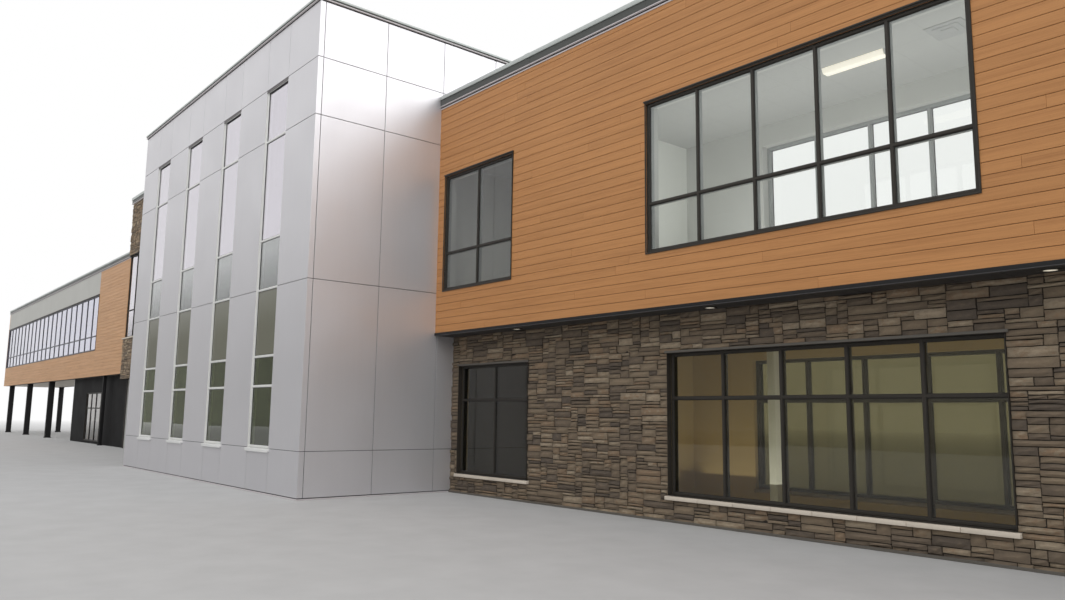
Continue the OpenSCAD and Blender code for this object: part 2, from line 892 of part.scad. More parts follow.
tower_front_wall();
tower_rear_wall();
tower_side_walls();
tower_coping();
tower_window_frames();
tower_glass();
tower_spandrels();
tower_sills();
wing_lower_front_wall();
wing_lower_rear_wall();
wing_lower_end_wall();
wing_upper_front_wall();
wing_upper_rear_wall();
wing_upper_end_wall();
wing_soffit();
soffit_lights();
wing_trim();
wing_coping();
window_casings();
wing_window_frames();
wing_upper_glass();
wing_lower_glass();
stone_sills();
wing_lining();
partition_walls();
upper_ceiling();
ceiling_light();
ceiling_grille();
inner_column();
pavilion_front_wall();
pavilion_rear_wall();
pavilion_side_walls();
pavilion_coping();
pavilion_window_frames();
pavilion_glass();
entrance_walls();
far_low_walls();
far_full_walls();
far_band_walls();
far_end_wall();
far_coping();
ribbon_frames();
ribbon_glass();
portico_soffit();
portico_columns();
block_long_walls();
block_end_wall();
screen_frame();
screen_glass();
ground_slabs();
upper_floors();
roof_decks();
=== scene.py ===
"""Looks of the school building: claddings, glazing, copings, sills, lights and rooms round its frame."""
import logging
import math
import random
from collections.abc import Callable, Iterable, Mapping, Sequence
from dataclasses import dataclass, replace
from enum import Enum
from functools import cache
from itertools import pairwise
from typing import Any, NamedTuple

import bmesh
import bpy
import numpy as np
from bmesh.types import BMEdge, BMesh, BMFace, BMVert
from mathutils import Matrix, Vector


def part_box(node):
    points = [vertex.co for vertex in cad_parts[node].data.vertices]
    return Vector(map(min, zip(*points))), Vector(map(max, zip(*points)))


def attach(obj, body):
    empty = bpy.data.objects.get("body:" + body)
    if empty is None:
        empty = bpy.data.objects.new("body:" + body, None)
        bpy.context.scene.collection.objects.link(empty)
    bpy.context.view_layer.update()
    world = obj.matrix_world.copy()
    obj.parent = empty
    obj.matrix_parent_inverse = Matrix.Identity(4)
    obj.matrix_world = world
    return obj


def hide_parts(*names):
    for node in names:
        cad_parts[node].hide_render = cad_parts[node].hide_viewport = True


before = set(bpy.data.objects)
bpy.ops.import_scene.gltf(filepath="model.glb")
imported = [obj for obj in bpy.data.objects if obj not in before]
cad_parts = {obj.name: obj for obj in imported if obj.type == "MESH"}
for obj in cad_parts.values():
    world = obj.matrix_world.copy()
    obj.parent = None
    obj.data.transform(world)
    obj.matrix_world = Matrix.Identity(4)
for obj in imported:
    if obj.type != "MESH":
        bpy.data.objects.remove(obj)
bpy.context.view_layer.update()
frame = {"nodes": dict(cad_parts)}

LOG = logging.getLogger("school_building")
UP = Vector((0.0, 0.0, 1.0))
ALONG = (1.0, 0.0, 0.0)
TINY = 1e-5  # distance below which two places are one
FINE = 0.001  # rounding of thin sheet
CLEAR_BY = 0.0005  # gap between thin trim and the ground or a soffit
PAST = 1.0  # how far a cut reaches past the edges of a sheet
FACING = 0.5  # least share of a face's normal along the way that it looks
FLAT = 0.01  # angle below which two faces are one
SHARP = math.radians(30.0)
Colour = tuple[float, float, float]


class Side(Enum):
    """A direction that a face looks in, with the direction to its right as seen from outside."""

    FRONT = ((0, -1, 0), (1, 0, 0))
    REAR = ((0, 1, 0), (-1, 0, 0))
    LEFT = ((-1, 0, 0), (0, -1, 0))
    RIGHT = ((1, 0, 0), (0, 1, 0))

    def axes_at(self, corner: Sequence[float]) -> Matrix:
        """Turns u to the right, v up and w outwards from a corner into the frame's axes."""
        out, right = (Vector(value) for value in self.value)
        return Matrix.Translation(corner) @ Matrix((right, UP, out)).transposed().to_4x4()


class Axis(Enum):
    """The two directions on a face: across runs to the right and level lines lie along it."""

    ACROSS = (1.0, 0.0, 0.0)
    UPWARD = (0.0, 1.0, 0.0)


class Rect(NamedTuple):
    """A rectangle on a face, by the lines of its four edges."""

    left: float
    bottom: float
    right: float
    top: float

    def grown(self, margin: float) -> "Rect":
        """The same rectangle with each edge moved out by a margin."""
        return Rect(self.left - margin, self.bottom - margin, self.right + margin, self.top + margin)

    def holds(self, point: Vector) -> bool:
        """Whether a point of the face lies inside."""
        return self.left < point.x < self.right and self.bottom < point.y < self.top

    def meets(self, other: "Rect") -> bool:
        """Whether the two rectangles share an area."""
        across = min(self.right, other.right) - max(self.left, other.left)
        upward = min(self.top, other.top) - max(self.bottom, other.bottom)
        return across > TINY and upward > TINY


@dataclass(frozen=True)
class Solid:
    """One solid of a node, by its corners and by the values that its corners take on each axis."""

    low: Vector
    high: Vector
    xs: tuple[float, ...]
    ys: tuple[float, ...]
    zs: tuple[float, ...]

    @property
    def middle(self) -> Vector:
        """Middle of the solid's box."""
        return (self.low + self.high) / 2


def new_part() -> BMesh:
    """Starts an empty mesh with a tone for each vertex."""
    bm = bmesh.new()
    bm.verts.layers.float.new("tone")
    return bm


def merged(node: str) -> BMesh:
    """Copies a node's mesh and joins its loose triangles."""
    bm = new_part()
    bm.from_mesh(frame["nodes"][node].data)
    bmesh.ops.remove_doubles(bm, verts=bm.verts, dist=TINY)
    return bm


def solids(node: str) -> list[Solid]:
    """Finds the separate solids of a node, from left to right.

    Args:
        node: Name of the node.

    Returns:
        The solids, with the values of their corners rounded to a tenth of a millimetre.
    """
    bm = merged(node)
    found = []
    for group in islands(bm):
        values = [tuple(sorted({round(vert.co[axis], 4) for vert in group})) for axis in range(3)]
        low, high = (Vector([axis[end] for axis in values]) for end in (0, -1))
        found.append(Solid(low, high, *values))
    bm.free()
    return sorted(found, key=lambda solid: (round(solid.low.x, 4), solid.low.y, solid.low.z))


def islands(bm: BMesh) -> list[list[BMVert]]:
    """Splits a mesh into its connected parts.

    Args:
        bm: The mesh.

    Returns:
        The vertices of each part.
    """
    seen: set[BMVert] = set()
    groups = []
    for start in bm.verts:
        if start in seen:
            continue
        seen.add(start)
        group = [start]
        for vert in group:
            for edge in vert.link_edges:
                other = edge.other_vert(vert)
                if other not in seen:
                    seen.add(other)
                    group.append(other)
        groups.append(group)
    return groups


@dataclass(frozen=True)
class Face:
    """An upright face seen from outside: u runs to the right from its corner, v up and w outwards."""

    corner: Vector
    side: Side
    area: Rect
    holes: tuple[Rect, ...] = ()

    @classmethod
    def of(cls, low: Vector, high: Vector, side: Side, openings: Iterable[Solid] = ()) -> "Face":
        """Takes a face from the box of a wall.

        Args:
            low: Lowest corner of the wall.
            high: Highest corner of the wall.
            side: Direction that the face looks in.
            openings: Solids that fill the wall's openings; those of other walls are passed over.

        Returns:
            The face, with a hole for each solid that lies within the wall.
        """
        out, right = (Vector(value) for value in side.value)
        corner = Vector([high[i] if out[i] + -right[i] > 0 else low[i] for i in range(3)])
        corner.z = 0.0
        width = abs((high - low).dot(right))
        near = [s for s in openings if all(low[i] - TINY < s.middle[i] < high[i] + TINY for i in range(3))]
        spans = [sorted(((s.low - corner).dot(right), (s.high - corner).dot(right))) for s in near]
        holes = tuple(Rect(a, s.low.z, b, s.high.z) for s, (a, b) in zip(near, spans))
        return cls(corner, side, Rect(0.0, low.z, width, high.z), holes)

    def matrix(self) -> Matrix:
        """Turns the face's own u, v and w into the frame's axes."""
        return self.side.axes_at(self.corner)


def add_box(bm: BMesh, low: Sequence[float], high: Sequence[float]) -> list[BMVert]:
    """Adds a straight box.

    Args:
        bm: The mesh that takes it.
        low: Lowest corner.
        high: Highest corner.

    Returns:
        The box's vertices.
    """
    low, high = Vector(low), Vector(high)
    place = Matrix.Translation((low + high) / 2) @ Matrix.Diagonal((*(high - low), 1.0))
    return bmesh.ops.create_cube(bm, size=1.0, matrix=place)["verts"]


def add_sill(bm: BMesh, low: Vector, high: Vector, wash: float) -> float:
    """Adds a sill, whose top slopes down to its nose at the front or at the rear.

    Args:
        bm: The mesh that takes it.
        low: Lowest corner.
        high: Highest corner.
        wash: Drop of the slope.

    Returns:
        The y of the nose.
    """
    nose = low.y if low.y + high.y < 0 else high.y
    verts = add_box(bm, low, high)
    lowered = [v for v in verts if abs(v.co.y - nose) < TINY and v.co.z > (low.z + high.z) / 2]
    bmesh.ops.translate(bm, verts=lowered, vec=(0.0, 0.0, -wash))
    return nose


def everything(bm: BMesh) -> list[Any]:
    """All vertices, edges and faces of a mesh."""
    return [*bm.verts, *bm.edges, *bm.faces]


def verts_of(items: Iterable[Any]) -> list[BMVert]:
    """The vertices among an operator's results."""
    return [item for item in items if isinstance(item, BMVert)]


def mark(bm: BMesh, choose: Callable[[BMFace], int]) -> BMesh:
    """Gives each face of a mesh the index of its material.

    Args:
        bm: The mesh.
        choose: Tells the index of a face.

    Returns:
        The mesh.
    """
    for side in bm.faces:
        side.material_index = choose(side)
    return bm


def soften(bm: BMesh, width: float, segments: int = 2,
           edges: Iterable[BMEdge] | None = None) -> None:
    """Rounds sharp edges.

    Args:
        bm: The mesh.
        width: Width of the rounding.
        segments: Number of faces across it.
        edges: The edges to choose from, or None for all.
    """
    chosen = bm.edges if edges is None else edges
    sharp = [e for e in chosen if len(e.link_faces) == 2 and e.calc_face_angle(0.0) > SHARP]
    bmesh.ops.bevel(bm, geom=sharp, offset=width, segments=segments, profile=0.5, affect="EDGES",
                    material=-1, clamp_overlap=True)


def mirror_to_rear(bm: BMesh, middle: float, shift: float = 0.0) -> None:
    """Adds the rear's copy of what stands at the front.

    Args:
        bm: The mesh of the front's pieces.
        middle: The y of the line that they mirror about.
        shift: Distance along the building from a front piece to its copy.
    """
    copied = bmesh.ops.duplicate(bm, geom=everything(bm))["geom"]
    verts = verts_of(copied)
    faces = [item for item in copied if isinstance(item, BMFace)]
    bmesh.ops.scale(bm, vec=(1.0, -1.0, 1.0), space=Matrix.Translation((0.0, -middle, 0.0)), verts=verts)
    bmesh.ops.translate(bm, verts=verts, vec=(shift, 0.0, 0.0))
    bmesh.ops.reverse_faces(bm, faces=faces)


def absorb(bm: BMesh, part: BMesh, place: Matrix | None = None) -> None:
    """Moves a part into a larger mesh and frees it.

    Args:
        bm: The mesh that takes the part.
        part: The part.
        place: Where its own axes lie, or None where it is in place.
    """
    if place is not None:
        part.transform(place)
    carrier = bpy.data.meshes.new("carrier")
    part.to_mesh(carrier)
    part.free()
    bm.from_mesh(carrier)
    bpy.data.meshes.remove(carrier)


def set_tones(bm: BMesh, rng: random.Random) -> None:
    """Gives each separate part of a mesh one tone of its own.

    Args:
        bm: The mesh.
        rng: Source of the tones.
    """
    tone = bm.verts.layers.float["tone"]
    for group in islands(bm):
        value = rng.random()
        for vert in group:
            vert[tone] = value


def linked(name: str, data: bpy.types.ID) -> bpy.types.Object:
    """Makes an object of a mesh, a lamp or a camera and links it to the scene."""
    made = bpy.data.objects.new(name, data)
    bpy.context.scene.collection.objects.link(made)
    return made


def hide_from(thing: bpy.types.Object, *rays: str) -> None:
    """Hides an object from the named kinds of rays."""
    for kind in rays:
        setattr(thing, f"visible_{kind}", False)


def new_object(bm: BMesh, name: str, looks: Iterable[bpy.types.Material]) -> bpy.types.Object:
    """Makes an object from a finished mesh.

    Args:
        bm: The mesh; it is freed.
        name: Name of the object.
        looks: Its materials, in the order of the faces' indices.

    Returns:
        The object, linked to the scene.
    """
    mesh = bpy.data.meshes.new(name)
    bm.to_mesh(mesh)
    bm.free()
    for look in looks:
        mesh.materials.append(look)
    return linked(name, mesh)


class Sheet:
    """A flat sheet on a face's plane, cut along level and upright lines before it gets its thickness."""

    def __init__(self, area: Rect) -> None:
        """Lays the sheet.

        Args:
            area: The rectangle that it covers.
        """
        self.bm = new_part()
        middle = ((area.left + area.right) / 2, (area.bottom + area.top) / 2, 0.0)
        size = (area.right - area.left, area.top - area.bottom, 1.0, 1.0)
        bmesh.ops.create_grid(self.bm, x_segments=1, y_segments=1, size=0.5,
                              matrix=Matrix.Translation(middle) @ Matrix.Diagonal(size))

    @classmethod
    def ring(cls, area: Rect, out: float, inside: float) -> "Sheet":
        """Lays a sheet along a rectangle's edge, as far outside and inside it as given."""
        sheet = cls(area.grown(out))
        sheet.remove(area.grown(-inside))
        return sheet

    @staticmethod
    def _span(piece: BMFace) -> Rect:
        """The rectangle round one face of the sheet."""
        us = [v.co.x for v in piece.verts]
        vs = [v.co.y for v in piece.verts]
        return Rect(min(us), min(vs), max(us), max(vs))

    def cut(self, axis: Axis, at: float, within: Rect) -> None:
        """Cuts the faces that reach into a rectangle along one line.

        Args:
            axis: Direction that the line's place is measured in.
            at: Place of the line.
            within: The rectangle.
        """
        faces = [f for f in self.bm.faces if self._span(f).meets(within)]
        edges = {e for f in faces for e in f.edges}
        verts = {v for f in faces for v in f.verts}
        normal = Vector(axis.value)
        bmesh.ops.bisect_plane(self.bm, geom=[*verts, *edges, *faces], dist=TINY,
                               plane_co=normal * at, plane_no=normal)

    def remove(self, hole: Rect) -> None:
        """Cuts a rectangle out of the sheet.

        Args:
            hole: The rectangle.
        """
        for axis, at in ((Axis.ACROSS, hole.left), (Axis.ACROSS, hole.right),
                         (Axis.UPWARD, hole.bottom), (Axis.UPWARD, hole.top)):
            self.cut(axis, at, hole)
        doomed = [f for f in self.bm.faces if hole.holds(f.calc_center_median())]
        bmesh.ops.delete(self.bm, geom=doomed, context="FACES")

    def merge(self) -> None:
        """Joins what is left of each plate into one face."""
        bmesh.ops.dissolve_limit(self.bm, angle_limit=FLAT, verts=self.bm.verts, edges=self.bm.edges)

    def thicken(self, back: float, front: float) -> None:
        """Turns the sheet into plates.

        Args:
            back: Depth of their back, as w on the face.
            front: Depth of their front.
        """
        bmesh.ops.translate(self.bm, verts=self.bm.verts, vec=(0.0, 0.0, back))
        grown = bmesh.ops.extrude_face_region(self.bm, geom=self.bm.faces[:])["geom"]
        bmesh.ops.translate(self.bm, verts=verts_of(grown), vec=(0.0, 0.0, front - back))
        bmesh.ops.recalc_face_normals(self.bm, faces=self.bm.faces)

    def plates(self, face: Face, thickness: float, rounding: float, rng: random.Random) -> BMesh:
        """Turns the sheet into separate plates on a face, each with a tone of its own.

        Args:
            face: The face, whose plane the plates' fronts lie in.
            thickness: Thickness of the plates.
            rounding: Width of the rounding round their fronts.
            rng: Source of the tones.

        Returns:
            The plates.
        """
        self.merge()
        set_tones(self.bm, rng)
        self.thicken(-thickness, 0.0)
        soften(self.bm, rounding, 1, [e for e in self.bm.edges if all(v.co.z > -TINY for v in e.verts)])
        self.bm.transform(face.matrix())
        return self.bm


class Graph:
    """A node tree being wired."""

    def __init__(self, tree: bpy.types.NodeTree) -> None:
        """Takes the tree."""
        self.tree = tree

    def add(self, kind: str, values: Mapping[Any, Any] | None = None, **settings: Any) -> bpy.types.Node:
        """Adds a node.

        Args:
            kind: The node's type, without its ShaderNode prefix.
            values: Constants or sockets for its inputs, by name or index.
            settings: Its other settings.

        Returns:
            The node.
        """
        node = self.tree.nodes.new(f"ShaderNode{kind}")
        for key, value in settings.items():
            setattr(node, key, value)
        self.give(node, values or {})
        return node

    def give(self, node: bpy.types.Node, values: Mapping[Any, Any]) -> None:
        """Gives a node's inputs their values.

        Args:
            node: The node.
            values: Constants or sockets, by the inputs' indices or names, an underscore for each space.
        """
        for key, value in values.items():
            socket = node.inputs[key.replace("_", " ") if isinstance(key, str) else key]
            if isinstance(value, bpy.types.NodeSocket):
                self.tree.links.new(value, socket)
            else:
                socket.default_value = value

    def math(self, operation: str, first: Any, second: Any = 0.0, clamp: bool = False) -> Any:
        """Adds a sum of two values and returns its socket."""
        return self.add("Math", {0: first, 1: second}, operation=operation, use_clamp=clamp).outputs[0]

    def mix(self, factor: Any, first: Any, second: Any, blend: str = "MIX") -> Any:
        """Mixes two colours and returns the mixed colour's socket."""
        return self.add("Mix", {0: factor, 6: first, 7: second}, data_type="RGBA",
                        blend_type=blend).outputs[2]

    def attribute(self, name: str) -> Any:
        """Reads an attribute of the piece's points and returns the socket of its value."""
        return self.add("Attribute", attribute_name=name).outputs["Fac"]

    def noise(self, vector: Any, scale: float, detail: float = 3.0, roughness: float = 0.55) -> Any:
        """Adds a noise and returns the socket of its value."""
        return self.add("TexNoise", {"Vector": vector, "Scale": scale, "Detail": detail,
                                     "Roughness": roughness}).outputs["Fac"]

    def spread(self, value: Any, low: float, high: float, to_low: float, to_high: float) -> Any:
        """Maps one range of values to another, clamped, and returns the socket."""
        return self.add("MapRange", {0: value, 1: low, 2: high, 3: to_low, 4: to_high}).outputs[0]

    def stretched(self, factors: Sequence[float]) -> Any:
        """Returns the piece's own coordinates, each axis times its factor."""
        place = self.add("TexCoord").outputs["Object"]
        return self.add("Mapping", {"Vector": place, "Scale": tuple(factors)}).outputs[0]

    def ramp(self, value: Any, stops: Sequence[tuple[float, Colour]]) -> Any:
        """Turns a value into a colour.

        Args:
            value: The value, or its socket.
            stops: Place and colour of each stop.

        Returns:
            The socket of the colour.
        """
        node = self.add("ValToRGB", {0: value})
        elements = node.color_ramp.elements
        while len(elements) < len(stops):
            elements.new(0.5)
        for element, (at, colour) in zip(elements, stops):
            element.position = at
            element.color = (*colour, 1.0)
        return node.outputs[0]


def shader_group(name: str, inputs: Mapping[str, tuple[str, Any]],
                 outputs: Mapping[str, str]) -> tuple[bpy.types.NodeTree, Graph, Any, Any]:
    """Starts a shader node group with named inputs and outputs.

    Args:
        name: Name of the group.
        inputs: Type of socket and first value of each input.
        outputs: Type of socket of each output.

    Returns:
        The group, its graph, its input node's outputs and its output node's inputs.
    """
    tree = bpy.data.node_groups.new(name, "ShaderNodeTree")
    for label, (kind, value) in inputs.items():
        socket = tree.interface.new_socket(label, in_out="INPUT", socket_type=f"NodeSocket{kind}")
        socket.default_value = value
    for label, kind in outputs.items():
        tree.interface.new_socket(label, in_out="OUTPUT", socket_type=f"NodeSocket{kind}")
    start = tree.nodes.new("NodeGroupInput")
    end = tree.nodes.new("NodeGroupOutput")
    return tree, Graph(tree), start.outputs, end.inputs


@cache
def weathering_group() -> bpy.types.NodeTree:
    """Builds the group that varies a colour as weather and age do.

    Returns:
        The group: broad clouds, rain streaks, fine specks and the tone of each separate part.
    """
    tree, graph, given, result = shader_group(
        "Weathering",
        {"Color": ("Color", (0.5, 0.5, 0.5, 1.0)), "Clouds": ("Float", 0.1), "Streaks": ("Float", 0.05),
         "Specks": ("Float", 0.05), "Tone": ("Float", 0.05)},
        {"Color": "Color"})
    clouds = graph.noise(graph.stretched((1.0, 1.0, 1.0)), 1.3, 4.0)
    streaks = graph.noise(graph.stretched((22.0, 22.0, 0.9)), 1.0, 3.0)
    specks = graph.noise(graph.stretched((1.0, 1.0, 1.0)), 90.0, 3.0, 0.7)
    tone = graph.attribute("tone")
    total: Any = 1.0
    for value, amount in ((clouds, "Clouds"), (streaks, "Streaks"), (specks, "Specks"), (tone, "Tone")):
        swing = graph.math("MULTIPLY", graph.math("SUBTRACT", value, 0.5), given[amount])
        total = graph.math("ADD", total, graph.math("MULTIPLY", swing, 2.0))
    grey = graph.add("CombineColor", {0: total, 1: total, 2: total}).outputs[0]
    tree.links.new(graph.mix(1.0, given["Color"], grey, "MULTIPLY"), result["Color"])
    return tree


@cache
def relief_group() -> bpy.types.NodeTree:
    """Builds the group of fine surface relief.

    Returns:
        The group: a height and a value for roughness, from a coarse and a fine noise.
    """
    tree, graph, given, result = shader_group(
        "Surface relief",
        {"Coarse scale": ("Float", 20.0), "Fine scale": ("Float", 200.0), "Fine share": ("Float", 0.4),
         "Stretch": ("Vector", (1.0, 1.0, 1.0)), "Shift": ("Float", 0.0)},
        {"Height": "Float", "Rough": "Float"})
    place = graph.add("TexCoord").outputs["Object"]
    place = graph.add("VectorMath", {0: place, 1: given["Stretch"]}, operation="MULTIPLY").outputs[0]
    place = graph.add("VectorMath", {0: place, 1: given["Shift"]}, operation="ADD").outputs[0]
    coarse, fine = (
        graph.add("TexNoise", {"Vector": place, "Scale": given[scale], "Detail": detail}).outputs[0]
        for scale, detail in (("Coarse scale", 4.0), ("Fine scale", 3.0)))
    height = graph.add("Mix", {0: given["Fine share"], 2: coarse, 3: fine}).outputs[0]
    tree.links.new(height, result["Height"])
    tree.links.new(coarse, result["Rough"])
    return tree


@cache
def seam_group() -> bpy.types.NodeTree:
    """Builds the group of straight seams at an even pitch.

    Returns:
        The group: a mask that is 1 on the seams, which lie across the given direction.
    """
    tree, graph, given, result = shader_group(
        "Seams",
        {"Direction": ("Vector", ALONG), "Pitch": ("Float", 1.0), "Width": ("Float", 0.01)},
        {"Mask": "Float"})
    place = graph.add("TexCoord").outputs["Object"]
    along = graph.add("VectorMath", {0: place, 1: given["Direction"]}, operation="DOT_PRODUCT")
    wave = graph.math("PINGPONG", along.outputs["Value"], graph.math("MULTIPLY", given["Pitch"], 0.5))
    edge = graph.math("DIVIDE", wave, given["Width"])
    tree.links.new(graph.math("SUBTRACT", 1.0, edge, clamp=True), result["Mask"])
    return tree


class Look:
    """A material being made: its graph, its surface shader and the groups placed in it."""

    def __init__(self, name: str) -> None:
        """Starts the material with a plain surface.

        Args:
            name: Name of the material.
        """
        self.material = bpy.data.materials.new(name)
        self.material.use_nodes = True
        self.graph = Graph(self.material.node_tree)
        self.surface = self.material.node_tree.nodes["Principled BSDF"]

    def set(self, **values: Any) -> None:
        """Sets the surface's inputs."""
        self.graph.give(self.surface, values)

    def place(self, group: bpy.types.NodeTree, **values: Any) -> Any:
        """Places a shared group with its own values and returns its outputs."""
        return self.graph.add("Group", values, node_tree=group).outputs

    def relief(self, **values: Any) -> Any:
        """Places the shared relief and returns its outputs."""
        return self.place(relief_group(), **values)

    def seams(self, direction: Sequence[float], pitch: float, width: float) -> Any:
        """Places the shared seams and returns the socket of their mask."""
        return self.place(seam_group(), Direction=tuple(direction), Pitch=pitch, Width=width)["Mask"]

    def weathered(self, colour: Any, clouds: float, streaks: float, specks: float, tone: float) -> Any:
        """Varies a colour by the shared weathering and returns the socket."""
        given = (*colour, 1.0) if isinstance(colour, tuple) else colour
        return self.place(weathering_group(), Color=given, Clouds=clouds, Streaks=streaks, Specks=specks,
                          Tone=tone)["Color"]

    def bump(self, height: Any, distance: float, strength: float = 1.0, normal: Any = None) -> Any:
        """Adds a bump, over another normal where one is given, and returns the socket of its normal."""
        under = {} if normal is None else {"Normal": normal}
        return self.graph.add("Bump", {"Height": height, "Distance": distance, "Strength": strength,
                                       **under}).outputs[0]


@dataclass(frozen=True)
class Finish:
    """A finish of the building, which becomes a material of its own name."""

    name: str

    def dress(self, look: Look) -> None:
        """Wires the finish into a material; each kind of finish does so in its own way."""
        raise NotImplementedError


@cache
def material_of(finish: Finish) -> bpy.types.Material:
    """Makes the material of a finish, once.

    Args:
        finish: The finish.

    Returns:
        The material.
    """
    look = Look(finish.name)
    finish.dress(look)
    return look.material


@dataclass(frozen=True)
class SheetMetal(Finish):
    """Coated, painted or anodised metal, with faint waves and a touch of weather."""

    colour: Colour
    roughness: float = 0.4
    metallic: float = 0.0
    weather: float = 0.04
    tone: float = 0.03
    seam_pitch: float = 0.0
    seam_width: float = 0.006
    gloss: float = 0.5

    def dress(self, look: Look) -> None:
        """Wires the metal.

        Args:
            look: The material being made.
        """
        colour = look.weathered(self.colour, self.weather, self.weather * 0.6, self.weather * 0.5, self.tone)
        relief = look.relief(Coarse_scale=2.2, Fine_scale=260.0, Fine_share=0.02)
        spread = look.graph.spread(relief["Rough"], 0.3, 0.7, self.roughness - 0.04, self.roughness + 0.05)
        normal = look.bump(relief["Height"], 0.004, 0.35)
        if self.seam_pitch:
            mask = look.seams(ALONG, self.seam_pitch, self.seam_width)
            colour = look.graph.mix(mask, colour, (0.02, 0.02, 0.02, 1.0))
            normal = look.bump(look.graph.math("SUBTRACT", 1.0, mask), 0.004, 1.0, normal)
        look.set(Base_Color=colour, Roughness=spread, Metallic=self.metallic, Normal=normal,
                 Specular_IOR_Level=self.gloss)


@dataclass(frozen=True)
class Timber(Finish):
    """Stained wood boards with streaky grain that runs along them."""

    light: Colour
    dark: Colour
    roughness: float = 0.5
    tone: float = 0.035

    def dress(self, look: Look) -> None:
        """Wires the wood.

        Args:
            look: The material being made.
        """
        graph = look.graph
        shift = graph.math("MULTIPLY", graph.attribute("tone"), 37.0)
        fine = look.relief(Coarse_scale=1.0, Fine_scale=3.1, Fine_share=0.5,
                           Stretch=(2.2, 2.2, 130.0), Shift=shift)
        broad = look.relief(Coarse_scale=1.0, Fine_scale=2.3, Fine_share=0.35,
                            Stretch=(0.8, 0.8, 24.0), Shift=shift)
        grain = graph.add("Mix", {0: 0.45, 2: fine["Height"], 3: broad["Height"]}).outputs[0]
        grain = graph.spread(grain, 0.32, 0.68, 0.0, 1.0)
        colour = graph.ramp(grain, [(0.0, self.dark), (0.55, self.light),
                                    (1.0, tuple(value * 1.12 for value in self.light))])
        colour = look.weathered(colour, 0.05, 0.0, 0.03, self.tone)
        look.set(Base_Color=colour, Roughness=graph.spread(grain, 0.0, 1.0, self.roughness + 0.08,
                                                           self.roughness - 0.05),
                 Normal=look.bump(fine["Height"], 0.0012, 0.6))


@dataclass(frozen=True)
class SplitStone(Finish):
    """Split ledge stones in mixed browns and greys, each with a tone of its own."""

    stops: tuple[tuple[float, Colour], ...]
    roughness: float = 0.85

    def dress(self, look: Look) -> None:
        """Wires the stone.

        Args:
            look: The material being made.
        """
        graph = look.graph
        tone = graph.attribute("tone")
        relief = look.relief(Coarse_scale=24.0, Fine_scale=150.0, Fine_share=0.45,
                             Stretch=(1.0, 1.0, 2.0), Shift=graph.math("MULTIPLY", tone, 11.0))
        mottled = graph.math("ADD", tone, graph.math("MULTIPLY", graph.math(
            "SUBTRACT", relief["Rough"], 0.5), 0.55))
        colour = graph.ramp(mottled, self.stops)
        patchy = graph.spread(relief["Height"], 0.35, 0.65, 0.3, 0.9)
        # Painted shade: each stone darkens towards its rim, patchy by the relief, where the joints' shade
        # falls.
        rim_wear_and_shade = graph.math("MULTIPLY", graph.attribute("edge"), patchy)
        colour = graph.mix(rim_wear_and_shade, colour, graph.mix(0.5, colour, (0.03, 0.025, 0.02, 1.0)))
        colour = look.weathered(colour, 0.1, 0.0, 0.14, 0.0)
        look.set(Base_Color=colour, Roughness=self.roughness,
                 Normal=look.bump(relief["Height"], 0.007, 0.9))


@dataclass(frozen=True)
class Masonry(Finish):
    """Cast stone, concrete, mortar, plaster or tile: a matt mineral surface."""

    colour: Colour
    roughness: float = 0.8
    clouds: float = 0.05
    specks: float = 0.05
    relief: float = 0.001
    seam_pitch: float = 0.0
    seam_width: float = 0.003
    seam_share: float = 0.25

    def dress(self, look: Look) -> None:
        """Wires the mineral surface.

        Args:
            look: The material being made.
        """
        colour = look.weathered(self.colour, self.clouds, self.clouds * 0.5, self.specks, 0.04)
        relief = look.relief(Coarse_scale=30.0, Fine_scale=220.0, Fine_share=0.5)
        if self.seam_pitch:
            for direction in (ALONG, (0.0, 1.0, 0.0)):
                mask = look.seams(direction, self.seam_pitch, self.seam_width)
                colour = look.graph.mix(look.graph.math("MULTIPLY", mask, self.seam_share), colour,
                                        (0.12, 0.11, 0.1, 1.0))
        look.set(Base_Color=colour, Roughness=self.roughness,
                 Normal=look.bump(relief["Height"], self.relief, 0.6))


@dataclass(frozen=True)
class Membrane(Finish):
    """Roof membrane in lapped sheets, with dust where water stood."""

    colour: Colour
    lap: float = 1.0
    lap_width: float = 0.012

    def dress(self, look: Look) -> None:
        """Wires the membrane.

        Args:
            look: The material being made.
        """
        graph = look.graph
        colour = look.weathered(self.colour, 0.12, 0.05, 0.06, 0.0)
        ponds = graph.noise(graph.stretched((1.0, 1.0, 0.2)), 0.9, 5.0, 0.6)
        colour = graph.mix(graph.spread(ponds, 0.5, 0.62, 0.0, 0.35), colour, (0.5, 0.48, 0.44, 1.0))
        mask = look.seams(ALONG, self.lap, self.lap_width)
        colour = graph.mix(graph.math("MULTIPLY", mask, 0.45), colour, (0.1, 0.1, 0.1, 1.0))
        relief = look.relief(Coarse_scale=8.0, Fine_scale=120.0, Fine_share=0.25)
        normal = look.bump(relief["Height"], 0.003, 0.5)
        look.set(Base_Color=colour, Roughness=0.75, Normal=look.bump(mask, 0.003, 1.0, normal))


@dataclass(frozen=True)
class GlassSheet(Finish):
    """Window glass: clear or coated and see-through, or painted on its back and opaque."""

    tint: Colour
    ior: float = 1.5
    metallic: float = 0.0
    opaque: bool = False

    def dress(self, look: Look) -> None:
        """Wires the glass.

        Args:
            look: The material being made.
        """
        relief = look.relief(Coarse_scale=1.1, Fine_scale=3.0, Fine_share=0.2)
        normal = look.bump(relief["Height"], 0.004, 0.12)
        if self.opaque:
            colour = look.weathered(self.tint, 0.06, 0.05, 0.0, 0.04)
            look.set(Base_Color=colour, Roughness=0.09, IOR=self.ior, Normal=normal)
        else:
            look.set(Base_Color=(*self.tint, 1.0), Roughness=0.0, IOR=self.ior, Metallic=self.metallic,
                     Transmission_Weight=1.0, Normal=normal)


